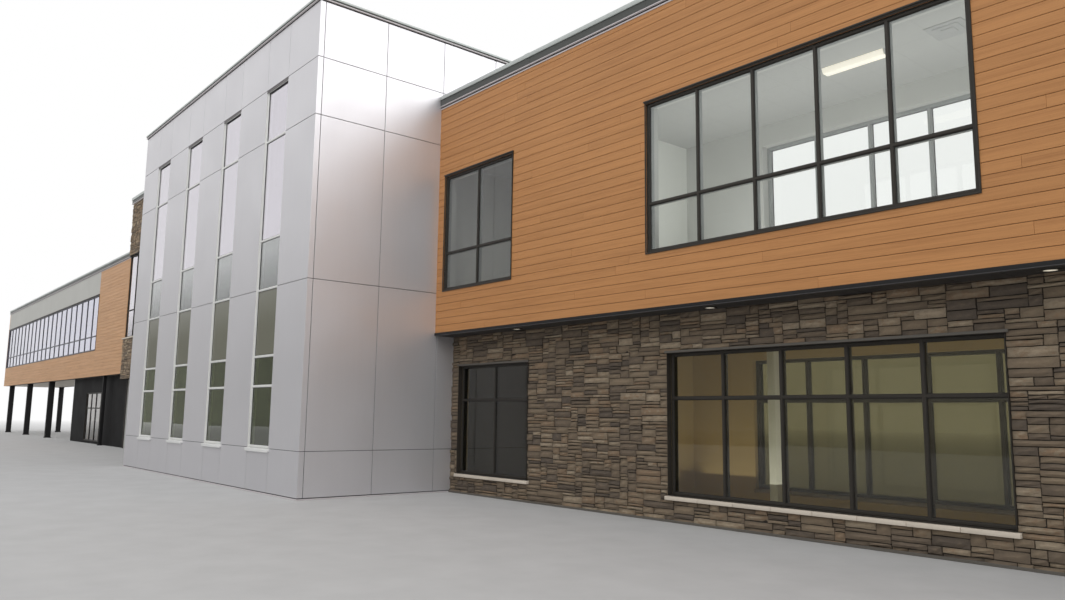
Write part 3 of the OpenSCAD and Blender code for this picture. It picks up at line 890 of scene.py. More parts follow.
@dataclass(frozen=True)
class GlowingLens(Finish):
    """Translucent lens of a lamp that is switched on."""

    colour: Colour
    strength: float

    def dress(self, look: Look) -> None:
        """Wires the lens.

        Args:
            look: The material being made.
        """
        ribs = look.seams(ALONG, 0.02, 0.01)
        glow = look.graph.mix(look.graph.math("MULTIPLY", ribs, 0.25), (*self.colour, 1.0),
                              (0.6, 0.55, 0.45, 1.0))
        look.set(Base_Color=(0.8, 0.8, 0.76, 1.0), Roughness=0.35, Emission_Color=glow,
                 Emission_Strength=self.strength)


# Tones of the split stones, from the darkest to the palest
STONES = (
    (0.0, (0.105, 0.082, 0.062)), (0.2, (0.155, 0.117, 0.082)), (0.45, (0.203, 0.152, 0.101)),
    (0.65, (0.243, 0.187, 0.125)), (0.8, (0.240, 0.161, 0.098)), (0.9, (0.282, 0.220, 0.149)),
    (1.0, (0.355, 0.285, 0.200)))
PANEL = SheetMetal("satin_silver_panel", (0.70, 0.69, 0.715), 0.45, 0.66, 0.02, 0.015)
BACKING = SheetMetal("dark_backing", (0.03, 0.03, 0.03), 0.8)
JOINT = SheetMetal("grey_joint_backing", (0.11, 0.11, 0.115), 0.8)
SILVER = SheetMetal("clear_anodised_frame", (0.84, 0.84, 0.82), 0.35, 0.25)
INNER_FRAME = SheetMetal("grey_inner_frame", (0.34, 0.36, 0.355), 0.5)
HEAD = SheetMetal("grey_head_flashing", (0.20, 0.185, 0.19), 0.5)
BRONZE = SheetMetal("dark_bronze_frame", (0.036, 0.031, 0.025), 0.45, gloss=0.35)
GASKET = SheetMetal("black_gasket", (0.012, 0.012, 0.012), 0.65)
# Painted reflection: the coping's top is a pale copy of its dark grey face, for the sky that the top
# reflects.
SKY_SHEEN_CAP = SheetMetal("coping_cap_with_painted_sky_sheen", (0.52, 0.56, 0.54), 0.42)
COPING = SheetMetal("grey_coping_face", (0.062, 0.067, 0.062), 0.45)
TRIM = SheetMetal("dark_grey_trim", (0.018, 0.0175, 0.018), 0.6, gloss=0.2)
COLUMN = SheetMetal("near_black_column", (0.014, 0.0135, 0.014), 0.65, gloss=0.2)
LIP = SheetMetal("pale_drip_edge", (0.62, 0.58, 0.59), 0.45)
BLUE_FRAME = SheetMetal("blue_grey_frame", (0.12, 0.12, 0.15), 0.4)
TRIM_LIP = SheetMetal("grey_trim_lip", (0.07, 0.068, 0.07), 0.5)
STRIP = SheetMetal("bronze_grey_strip", (0.11, 0.10, 0.085), 0.6)
WHITE_METAL = SheetMetal("white_sill_metal", (0.78, 0.78, 0.77), 0.4)
BAND = SheetMetal("pale_grey_band", (0.47, 0.47, 0.44), 0.5, 0.0, 0.04, 0.02)
BLOCK = SheetMetal("near_black_panel", (0.010, 0.0095, 0.010), 0.7, gloss=0.15)
SOFFIT = SheetMetal("dark_soffit_panel", (0.035, 0.034, 0.034), 0.55, seam_pitch=0.3)
BLOCK_SEAMED = SheetMetal("near_black_seamed_panel", (0.014, 0.013, 0.014), 0.7, seam_pitch=0.6, gloss=0.15)
PALE_SOFFIT = SheetMetal("pale_soffit_panel", (0.55, 0.5, 0.43), 0.55, seam_pitch=0.6)
HOUSING = SheetMetal("white_housing", (0.75, 0.75, 0.72), 0.4)
GRILLE = SheetMetal("pale_grey_grille", (0.45, 0.46, 0.45), 0.5)
BOARDS = Timber("stained_boards", (0.505, 0.232, 0.078), (0.37, 0.154, 0.046))
# Painted sheen: a paler copy of the near boards, for the haze and grazing sky sheen on the far wing's boards;
# the wood is the same.
FAR_BOARDS = Timber("boards_paled_by_painted_sheen", (0.575, 0.318, 0.152), (0.42, 0.212, 0.092))
STONE = SplitStone("ledge_stone", STONES)
PALE_STONE = SplitStone("pale_ledge_stone", tuple((at, tuple(1.45 * value for value in colour))
                                                  for at, colour in STONES))
MORTAR = Masonry("dark_mortar", (0.022, 0.018, 0.014), 0.95, 0.1, 0.1)
CAST = Masonry("cream_cast_stone", (0.62, 0.55, 0.46), 0.75, 0.05, 0.07)
PLASTER = Masonry("pale_plaster", (0.62, 0.63, 0.60), 0.85, 0.02, 0.02)
WHITE_PLASTER = Masonry("white_plaster", (0.86, 0.88, 0.83), 0.85, 0.02, 0.02)
TAN_PLASTER = Masonry("tan_plaster", (0.45, 0.33, 0.14), 0.85, 0.03, 0.02)
SHADE = Masonry("shaded_plaster", (0.075, 0.068, 0.055), 0.9, 0.05, 0.02)
CEILING = Masonry("ceiling_tiles", (0.50, 0.51, 0.49), 0.9, 0.02, 0.06, 0.001, 0.3048)
WARM_CEILING = Masonry("warm_ceiling_tiles", (0.58, 0.52, 0.42), 0.9, 0.02, 0.05, 0.001, 0.3048)
FLOOR = Masonry("floor_tiles", (0.68, 0.63, 0.54), 0.35, 0.05, 0.05, 0.0005, 0.3048)
CONCRETE = Masonry("concrete", (0.42, 0.41, 0.385), 0.85, 0.1, 0.08)
ROOF = Membrane("grey_roof_membrane", (0.30, 0.30, 0.295))
CLEAR = GlassSheet("clear_glass", (0.95, 0.965, 0.95))
# Painted shade: the grey bronze tint darkens the lower windows and what shows through them.
SHADED = GlassSheet("glass_darkened_by_painted_shade", (0.62, 0.60, 0.48))
# Painted view: the dark olive tint of the rear panes stands for the dark garden and trees seen through them.
GARDEN_SIDE = GlassSheet("glass_with_painted_dark_garden_view", (0.175, 0.162, 0.092))
COATED = GlassSheet("coated_glass", (0.81, 0.78, 0.84), 1.6, 0.62)
BLUE_COATED = GlassSheet("blue_coated_glass", (0.67, 0.67, 0.80), 1.6, 0.62)
MID_COATED = GlassSheet("coated_glass_of_the_sill_panes", (0.60, 0.62, 0.62), 1.9, 0.35)
# Painted reflection: the dark green tint stands for the lawn and trees that the tower's low panes reflect,
# and darkens them.
LAWN_REFLECTION_GLASS = GlassSheet("glass_with_painted_lawn_reflection", (0.34, 0.39, 0.22), 1.6)
# Painted reflection: the warm grey tint stands for the warm reflections in the entrance screens.
WARM_REFLECTION_GLASS = GlassSheet("glass_with_painted_warm_reflection", (0.5, 0.45, 0.4), 1.7)
SPANDREL = GlassSheet("olive_spandrel_glass", (0.17, 0.17, 0.13), 1.6, 0.0, True)
LENS = GlowingLens("warm_lamp_lens", (1.0, 0.90, 0.70), 0.55)


def finish_piece(bm: BMesh, name: str, finishes: Sequence[Finish],
                 nodes: Sequence[str] = (), smooth: bool = True) -> None:
    """Makes a piece of the building from a finished mesh.

    Args:
        bm: The mesh, in the frame's axes; it is freed.
        name: Name of the piece.
        finishes: Its finishes, in the order of the faces' indices.
        nodes: Nodes that the piece stands for.
        smooth: Whether rounded edges shade smoothly.
    """
    piece = new_object(bm, name, map(material_of, finishes))
    if smooth:
        piece.data.shade_smooth()
        piece.data.set_sharp_from_angle(angle=SHARP)
    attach(piece, "root")
    if nodes:
        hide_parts(*nodes)
    LOG.info("%s: %d faces", name, len(piece.data.polygons))


@dataclass
class Backing:
    """The slab behind a wall's cladding, with its room and parapet faces."""

    thickness: float = 0.15

    def build(self, face: Face, inset: float, ends: tuple[float, float] = (0.0, 0.0),
              parapet: float | None = None) -> BMesh:
        """Builds one slab.

        Args:
            face: The wall's outer face.
            inset: Depth of the cladding in front of it.
            ends: How far its left and right ends stand back from the face's.
            parapet: Height above which its inner side is a parapet, or None where it has none.

        Returns:
            The slab: material 0 outside, 1 towards the room and in the openings, 2 at the parapet.
        """
        area = face.area._replace(left=face.area.left + ends[0], right=face.area.right - ends[1])
        sheet = Sheet(area)
        for hole in face.holes:
            sheet.remove(hole)
        if parapet is not None:
            sheet.cut(Axis.UPWARD, parapet, area)
        sheet.thicken(-self.thickness, -inset)
        inner = area.grown(-TINY)

        def zone(side: BMFace) -> int:
            """Tells the material of one face of the slab, from where it looks and lies."""
            middle = side.calc_center_median()
            if side.normal.z < -FACING:
                return 2 if parapet is not None and middle.y > parapet else 1
            return 1 if side.normal.z < FACING and inner.holds(middle) else 0

        mark(sheet.bm, zone).transform(face.matrix())
        return sheet.bm


@dataclass
class Cladding:
    """What the outer face of a wall carries; it covers the slab from the inset outwards."""

    inset: float = 0.010

    def build(self, face: Face, rng: random.Random) -> BMesh:
        """Builds one face's cladding; each kind does so in its own way."""
        raise NotImplementedError

    def cover(self, bm: BMesh, face: Face, rng: random.Random) -> None:
        """Adds one face's cladding to the slab behind it, as the wall's last material."""
        absorb(bm, mark(self.build(face, rng), lambda _: 3))


@dataclass
class BoardCladding(Cladding):
    """Level boards of one exposure, with thin shadow gaps and staggered butt joints."""

    exposure: float = 0.0762
    gap: float = 0.0032
    butt: float = 0.0012
    thickness: float = 0.012
    length: float = 3.66
    shortest: float = 0.35
    narrowest: float = 0.4  # of the exposure, for the topmost board
    rounding: float = 0.001

    def build(self, face: Face, rng: random.Random) -> BMesh:
        """Builds the boards of one face.

        Args:
            face: The face, whose plane the boards' fronts lie in.
            rng: Source of the joints' places and of the tones.

        Returns:
            The boards.
        """
        area = face.area
        beyond = area.grown(PAST)
        sheet = Sheet(area)
        level = area.bottom + self.exposure
        courses = [area.bottom]
        while level < area.top - self.exposure * self.narrowest:
            sheet.remove(beyond._replace(bottom=level - self.gap / 2, top=level + self.gap / 2))
            courses.append(level)
            level += self.exposure
        for hole in face.holes:
            sheet.remove(hole)
        for course in courses:
            at = area.left + rng.uniform(self.shortest, self.length)
            while at < area.right - self.shortest:
                sheet.remove(Rect(at - self.butt / 2, course, at + self.butt / 2, course + self.exposure))
                at += self.length
        return sheet.plates(face, self.thickness, self.rounding, rng)


@dataclass
class PanelCladding(Cladding):
    """Flat metal panels with open joints between them."""

    inset: float = 0.009
    gap: float = 0.006
    thickness: float = 0.010
    rounding: float = 0.0015
    pitch: float = 1.22

    def build(self, face: Face, rng: random.Random) -> BMesh:
        """Builds evenly spaced panels on one face.

        Args:
            face: The face, whose plane the panels' fronts lie in.
            rng: Source of the tones.

        Returns:
            The panels.
        """
        area = face.area
        sheet = Sheet(area)
        count = max(1, round((area.right - area.left) / self.pitch))
        step = (area.right - area.left) / count
        for index in range(1, count):
            at = area.left + index * step
            sheet.remove(Rect(at - self.gap / 2, area.bottom, at + self.gap / 2, area.top))
        for hole in face.holes:
            sheet.remove(hole)
        return sheet.plates(face, self.thickness, self.rounding, rng)


@dataclass
class StoneCladding(Cladding):
    """Split ledge stones laid dry, in random lengths and heights that fit round each other."""

    inset: float = 0.020
    cell: float = 0.0125
    heights: tuple[int, ...] = (2, 2, 3, 3, 4, 5)  # in cells, as are the next three
    widths: tuple[int, int] = (7, 23)
    least: int = 6
    reach: int = 9
    joint: float = 0.0056
    stray: float = 0.3  # of the joint, for each corner
    depth: float = 0.030
    proud: float = 0.003
    uneven: float = 0.014
    rough: float = 0.005
    calm: float = 0.2  # of the roughness, within a stone's face
    rim_wear_and_shade: float = 0.85  # of the roughness, at its rim
    column: float = 0.055
    columns: tuple[int, int] = (2, 4)
    rim: float = 0.49  # of a stone's size, from its middle

    @staticmethod
    def _lines(start: float, stop: float, marks: Iterable[float], cell: float) -> list[float]:
        """Divides a length into cells.

        Args:
            start: Start of the length.
            stop: End of the length.
            marks: Places that a line has to lie on.
            cell: Distance between two lines, about.

        Returns:
            The lines between the cells, with the first and the last.
        """
        stops = sorted({start, stop, *(place for place in marks if start < place < stop)})
        lines = [start]
        for low, high in pairwise(stops):
            count = max(1, round((high - low) / cell))
            lines += [low + (high - low) * (index + 1) / count for index in range(count)]
        return lines

    def lay(self, face: Face, rng: random.Random) -> list[Rect]:
        """Fits stones into a face, from the bottom up.

        Args:
            face: The face, with its holes.
            rng: Source of the sizes.

        Returns:
            The rectangle of each stone.
        """
        area = face.area
        us = self._lines(area.left, area.right, [x for h in face.holes for x in (h.left, h.right)], self.cell)
        vs = self._lines(area.bottom, area.top, [y for h in face.holes for y in (h.bottom, h.top)], self.cell)
        taken = np.zeros((len(vs) - 1, len(us) - 1), bool)
        mid_u = np.array([(a + b) / 2 for a, b in pairwise(us)])
        mid_v = np.array([(a + b) / 2 for a, b in pairwise(vs)])
        for hole in face.holes:
            rows = (mid_v > hole.bottom) & (mid_v < hole.top)
            taken[np.ix_(rows, (mid_u > hole.left) & (mid_u < hole.right))] = True
        longest = self.widths[1] + self.least
        stones = []
        for row in range(taken.shape[0]):
            column = 0
            while column < taken.shape[1]:
                if taken[row, column]:
                    column += 1
                    continue
                run = self._free(taken[row, column:column + longest])
                width = min(run, rng.randint(*self.widths))
                if run - width < self.least:
                    width = run
                room = self._free(taken[row:row + self.reach, column:column + width].any(axis=1))
                height = min(room, rng.choice(self.heights))
                if room - height == 1:
                    height += 1
                taken[row:row + height, column:column + width] = True
                stones.append(Rect(us[column], vs[row], us[column + width], vs[row + height]))
                column += width
        return stones

    @staticmethod
    def _free(taken: np.ndarray) -> int:
        """Number of free cells before the first taken one."""
        blocked = np.flatnonzero(taken)
        return int(blocked[0]) if len(blocked) else len(taken)

    def _add_stone(self, bm: BMesh, stone: Rect, rng: random.Random) -> None:
        """Adds the flat sheet of one stone, with its tone, its edges and how far each point lifts.

        Args:
            bm: The mesh that takes it.
            stone: The stone's rectangle, with half its joints.
            rng: Source of its tone, place and split face.
        """
        tone, edge, lift = (bm.verts.layers.float[name] for name in ("tone", "edge", "lift"))
        inner = stone.grown(-self.joint / 2)
        width, height = inner.right - inner.left, inner.top - inner.bottom
        middle = Vector(((inner.left + inner.right) / 2, (inner.bottom + inner.top) / 2, -self.depth))
        place = Matrix.Translation(middle) @ Matrix.Diagonal((width, height, 1.0, 1.0))
        columns = min(self.columns[1], max(self.columns[0], round(width / self.column)))
        verts = bmesh.ops.create_grid(bm, x_segments=columns, y_segments=2, size=0.5, matrix=place)["verts"]
        value = rng.random()
        base = self.proud - rng.random() * self.uneven
        lean = rng.uniform(-1.0, 1.0) * self.rough
        for vert in verts:
            across = (vert.co.x - middle.x) / width
            upward = (vert.co.y - middle.y) / height
            rim = max(abs(across), abs(upward)) > self.rim
            vert[tone] = value
            vert[edge] = 1.0 if rim else 0.0
            drop = rng.random() * self.rough * (1.0 if rim else self.calm)
            vert[lift] = base + lean * upward - drop - (self.rough * self.rim_wear_and_shade if rim else 0.0)

    def build(self, face: Face, rng: random.Random) -> BMesh:
        """Builds the stones of one face.

        Args:
            face: The face, whose plane the stones' fronts lie about.
            rng: Source of the sizes, the split faces and the tones.

        Returns:
            The stones.
        """
        bm = new_part()
        for name in ("edge", "lift"):
            bm.verts.layers.float.new(name)
        for stone in self.lay(face, rng):
            self._add_stone(bm, stone, rng)
        lift = bm.verts.layers.float["lift"]
        grown = bmesh.ops.extrude_face_region(bm, geom=bm.faces[:])["geom"]
        for vert in verts_of(grown):
            vert.co.z = vert[lift]
            vert.co.x += rng.uniform(-self.stray, self.stray) * self.joint
            vert.co.y += rng.uniform(-self.stray, self.stray) * self.joint
        bmesh.ops.recalc_face_normals(bm, faces=bm.faces)
        bm.transform(face.matrix())
        return bm


def refined(node: str, rounding: float, segments: int = 2) -> BMesh:
    """Copies a node's mesh with its flat faces joined and its sharp edges rounded.

    Args:
        node: Name of the node.
        rounding: Width of the rounding.
        segments: Number of faces across it.

    Returns:
        The copy.
    """
    bm = merged(node)
    bmesh.ops.dissolve_limit(bm, angle_limit=FLAT, verts=bm.verts, edges=bm.edges)
    soften(bm, rounding, segments)
    return bm


def dress_node(node: str, name: str, finish: Finish, rounding: float, segments: int = 1) -> None:
    """Makes a piece of one finish from a node's own shape, with its sharp edges rounded."""
    finish_piece(refined(node, rounding, segments), name, (finish,), (node,))


def deck_below(coping: str, upstand: float = 0.125) -> float:
    """Height of the roof deck that the parapet under a coping stands round."""
    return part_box(coping)[0].z - upstand


class Panes(NamedTuple):
    """The panes that stand for a glass node, in all of the windows' height or in a band of it."""

    node: str
    glass: Finish
    name: str = "panes"
    low: float = 0.0
    high: float = math.inf
    slot: str = "clear_glass"
    rear_glass: Finish | None = None


@dataclass
class Windows:
    """The windows of one node: frames with cover caps, gaskets and panes, mirrored to the rear."""

    name: str
    node: str
    wall: str
    glass: tuple[Panes, ...]
    frame: Finish = BRONZE
    inner_frame: Finish = BRONZE
    slot: str = "dark_frame"
    levels: tuple[float, float] = (0.0, math.inf)
    open_left: bool = False
    liner: float = 0.003
    cap: float = 0.006
    cap_step: float = 0.004
    rail_back: float = 0.0072
    rounding: float = 0.0018
    gasket: float = 0.003
    lap: float = 0.001  # of one layer over the next, from the reveal to the gaskets
    slack: float = 0.0002
    bite: float = 0.006
    bed: float = 0.002
    tilt: float = 0.0018

    def __post_init__(self) -> None:
        """Reads the front windows, the line that the rear mirrors about and the depth of the reveals."""
        low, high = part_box(self.node)
        self.middle = (low.y + high.y) / 2
        level = [s for s in solids(self.node) if self.levels[0] < s.middle.z < self.levels[1]]
        self.windows = [s for s in level if s.middle.y < self.middle]
        self.shift = min(s.low.x for s in level if s.middle.y > self.middle) - self.windows[0].low.x
        self.reveal = self.windows[0].low.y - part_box(self.wall)[0].y

    def build(self) -> None:
        """Builds the frames, gaskets and panes."""
        rng = random.Random(self.name)
        metals = (self.frame, self.inner_frame)
        finish_piece(self._frames(), self.name + "_frames", metals, (self.node,))
        finish_piece(self._gaskets(), self.name + "_gaskets", (GASKET,), (self.node,))
        for band in self.glass:
            panes = mark(self._panes(band, rng), lambda side: side.calc_center_median().y > self.middle)
            finish_piece(panes, f"{self.name}_{band.name}", (band.glass, band.rear_glass or band.glass),
                         (band.node,), False)

    @staticmethod
    def _bars(values: Sequence[float]) -> list[tuple[float, float]]:
        """Pairs of lines that bound each bar, from the first to the last."""
        return list(zip(values[::2], values[1::2]))

    def _frames(self) -> BMesh:
        """Builds the frames with their mullions and transoms.

        Returns:
            The frames at the front and at the rear: material 0 outside and 1 behind the glass.
        """
        bm = new_part()
        for window in self.windows:
            self._add_bars(bm, window)
        soften(bm, self.rounding, 1)
        behind = self.windows[0].ys[2]
        bmesh.ops.bisect_plane(bm, geom=everything(bm), dist=TINY, plane_co=(0.0, behind, 0.0),
                               plane_no=(0.0, 1.0, 0.0))
        mark(bm, lambda side: side.calc_center_median().y > behind)
        for window in self.windows:
            opening = Rect(window.low.x, window.low.z, window.high.x, window.high.z)
            sheet = Sheet.ring(opening, -self.slack, self.liner)
            if self.open_left:
                sheet.remove(opening.grown(PAST)._replace(right=opening.left + self.liner))
            sheet.thicken(0.0, self.reveal - self.lap)
            absorb(bm, sheet.bm, Side.FRONT.axes_at((0.0, window.low.y + self.lap, 0.0)))
        mirror_to_rear(bm, self.middle, self.shift)
        return bm

    def _add_bars(self, bm: BMesh, window: Solid) -> None:
        """Adds the uprights and rails of one window, each a bar with a narrower cap on it.

        Args:
            bm: The mesh that takes them.
            window: The window's frame.
        """
        low, high, step = window.low, window.high, self.cap_step
        uprights = self._bars(window.xs)
        for left, right in uprights:
            add_box(bm, (left, low.y + self.cap, low.z), (right, high.y, high.z))
            add_box(bm, (left + step, low.y, low.z), (right - step, low.y + 2 * self.cap, high.z))
        for (_, left), (right, _) in pairwise(uprights):
            for bottom, top in self._bars(window.zs):
                add_box(bm, (left - step, low.y + self.rail_back, bottom),
                        (right + step, high.y - self.lap, top))
                add_box(bm, (left - 2 * step, low.y + self.lap, bottom + step),
                        (right + 2 * step, low.y + 2 * self.cap, top - step))

    def _openings(self, window: Solid, low: float = 0.0, high: float = math.inf) -> list[Rect]:
        """Finds the openings between a window's bars.

        Args:
            window: The window's frame.
            low: Height that an opening's middle lies above.
            high: Height that it lies below.

        Returns:
            The openings, from left to right and from the bottom up.
        """
        return [Rect(left, bottom, right, top)
                for (_, left), (right, _) in pairwise(self._bars(window.xs))
                for (_, bottom), (top, _) in pairwise(self._bars(window.zs))
                if low < (bottom + top) / 2 < high]

    def _gaskets(self) -> BMesh:
        """Builds the black gaskets round each pane.

        Returns:
            The gaskets at the front and at the rear.
        """
        bm = new_part()
        for window in self.windows:
            for opening in self._openings(window):
                sheet = Sheet.ring(opening, self.lap, self.gasket)
                sheet.thicken(0.0, self.gasket)
                absorb(bm, sheet.bm, Side.FRONT.axes_at((0.0, window.ys[1] + self.lap, 0.0)))
        mirror_to_rear(bm, self.middle, self.shift)
        return bm

    def _panes(self, band: Panes, rng: random.Random) -> BMesh:
        """Builds the panes between the bars, each a hair out of true.

        Args:
            band: The panes to build.
            rng: Source of the tilts.

        Returns:
            The panes at the front and at the rear.
        """
        bm = new_part()
        for window in self.windows:
            near, far = window.ys[1] + self.bed, window.ys[2] - self.bed
            for opening in self._openings(window, band.low, band.high):
                pane = opening.grown(self.bite)
                verts = add_box(bm, (pane.left, near, pane.bottom), (pane.right, far, pane.top))
                middle = Vector((pane.left + pane.right, near + far, pane.bottom + pane.top)) / 2
                turn = Matrix.Rotation(rng.uniform(-1, 1) * self.tilt, 3, "X")
                turn = turn @ Matrix.Rotation(rng.uniform(-1, 1) * self.tilt, 3, "Z")
                bmesh.ops.rotate(bm, verts=verts, cent=middle, matrix=turn)
        mirror_to_rear(bm, self.middle, self.shift)
        set_tones(bm, rng)
        return bm


class Strip(NamedTuple):
    """A thin strip under a coping: how far it stands out, what it spans below and its material."""

    out: float
    foot: float
    head: float
    look: int


@dataclass
class Coping:
    """Sheet metal coping in lengths, with a cover plate over each joint and strips below it; a black strip
    there is painted shade, a dark line for the shadow under the coping.
    """

    node: str
    sides: tuple[Side, ...]
    walls: tuple[str, ...] = ()
    # The first, black strip is painted shade, the shadow line under the coping; the second is the pale drip
    # edge.
    strips: tuple[Strip, ...] = (Strip(0.003, 0.024, 0.0, 3), Strip(0.007, 0.026, 0.014, 2))
    width: float = 0.2
    step: float = 0.010
    length: float = 1.52
    cover: float = 0.07
    proud: float = 0.0015
    rounding: float = 0.003

    def build(self) -> None:
        """Builds the coping, its cover plates and its strips."""
        low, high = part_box(self.node)
        _, foot, cap, _ = sorted({round(v.co.z, 3) for v in frame["nodes"][self.node].data.vertices})

        def zone(side: BMFace) -> int:
            """Tells whether a face belongs to the cap, the face or the drip foot."""
            height = side.calc_center_median().z
            return 0 if height > cap - TINY else 2 if height < foot else 1

        bm = mark(refined(self.node, self.rounding), zone)
        size = high - low
        middle = Vector(((low.x + high.x) / 2, (low.y + high.y) / 2, low.z))
        shrunk = [1 - 2 * self.proud / size.x, 1 - 2 * self.proud / size.y, 1 - self.proud / size.z]
        bmesh.ops.scale(bm, vec=shrunk, space=Matrix.Translation(-middle), verts=bm.verts)
        for side in self.sides:
            self._add_covers(bm, Face.of(low, high, side), foot, cap)
        if self.walls:
            self._add_strips(bm, low.z)
        finish_piece(bm, self.node + "_sheet", (SKY_SHEEN_CAP, COPING, LIP, GASKET), (self.node,))

    def _add_strips(self, bm: BMesh, base: float) -> None:
        """Adds the strips that close the top of the cladding below; the black one is painted shade under the
        coping.

        Args:
            bm: The coping.
            base: Height of its underside.
        """
        boxes = [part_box(name) for name in self.walls]
        plan = Rect(min(low.x for low, _ in boxes), min(low.y for low, _ in boxes),
                    max(high.x for _, high in boxes), max(high.y for _, high in boxes))
        for strip in self.strips:
            ring = Sheet.ring(plan, strip.out, self.step)
            ring.thicken(base - strip.foot, base - strip.head)
            absorb(bm, mark(ring.bm, lambda _, look=strip.look: look))

    def _add_covers(self, bm: BMesh, face: Face, foot: float, cap: float) -> None:
        """Adds the cover plates along one side.

        Args:
            bm: The coping.
            face: The side's outer face.
            foot: Top of the drip foot.
            cap: Underside of the cap.
        """
        area = face.area
        count = max(2, round((area.right - area.left) / self.length))
        for index in range(1, count):
            at = area.left + (area.right - area.left) * index / count
            left, right = at - self.cover / 2, at + self.cover / 2
            for bottom, top, back, look in ((cap - self.proud, area.top, 0.0, 0),
                                            (foot, cap, self.step, 1)):
                part = new_part()
                add_box(part, (left, bottom, back - self.width), (right, top, -back))
                soften(part, self.proud / 2, 1)
                absorb(bm, mark(part, lambda _, look=look: look), face.matrix())


@dataclass
class Wall:
    """The walls of one node: slabs, with the cladding that their outer faces carry."""

    node: str
    cladding: Cladding
    skin: Finish
    slot: str
    openings: tuple[str, ...] = ()
    side: Side | None = None
    corner: Side | None = None  # the end where the slab stands back behind the next wall's cladding
    overlap: float = 0.0
    parapet: float | None = None
    room: Finish = PLASTER
    bed: Finish = BACKING

    def faces(self) -> list[Face]:
        """Takes the outer face of each of the node's solids.

        Returns:
            The faces, each with the holes of its windows.
        """
        filled = [solid for name in self.openings for solid in solids(name)]
        found = []
        for solid in solids(self.node):
            side = self.side or (Side.FRONT if solid.middle.y < 0 else Side.REAR)
            found.append(Face.of(solid.low, solid.high, side, filled))
        return found

    def _ends(self, face: Face) -> tuple[float, float]:
        """How far the left and right ends of a face's slab stand back."""
        at_left = (self.corner is Side.LEFT) == (face.side is Side.FRONT)
        back = self.cladding.inset if self.corner else 0.0
        return (back, 0.0) if at_left else (0.0, back)

    def build(self) -> None:
        """Builds the walls as one piece."""
        rng = random.Random(self.node)
        bm = new_part()
        for face in self.faces():
            absorb(bm, Backing().build(face, self.cladding.inset, self._ends(face), self.parapet))
            area = face.area
            wider = area._replace(left=area.left - self.overlap, right=area.right + self.overlap)
            self.cladding.cover(bm, replace(face, area=wider), rng)
        rounded = not isinstance(self.cladding, StoneCladding)
        finish_piece(bm, self.node + "_cladding", (self.bed, self.room, ROOF, self.skin),
                     (self.node,), rounded)


@dataclass
class CastSills:
    """Cast stone sills in short lengths, each with a sloped top and a rounded nose."""

    node: str = "stone_sills"
    length: float = 0.305
    joint: float = 0.003
    wash: float = 0.006
    rounding: float = 0.002

    def build(self) -> None:
        """Builds the sills."""
        bm = new_part()
        for sill in solids(self.node):
            low, high = sill.low, sill.high
            count = max(1, round((high.x - low.x) / self.length))
            step = (high.x - low.x) / count
            for index in range(count):
                left = low.x + index * step + (self.joint / 2 if index else 0.0)
                right = low.x + (index + 1) * step - (self.joint / 2 if index < count - 1 else 0.0)
                add_sill(bm, Vector((left, low.y, low.z)), Vector((right, high.y, high.z)), self.wash)
        soften(bm, self.rounding)
        set_tones(bm, random.Random(self.node))
        finish_piece(bm, "cast_sill_lengths", (CAST,), (self.node,))


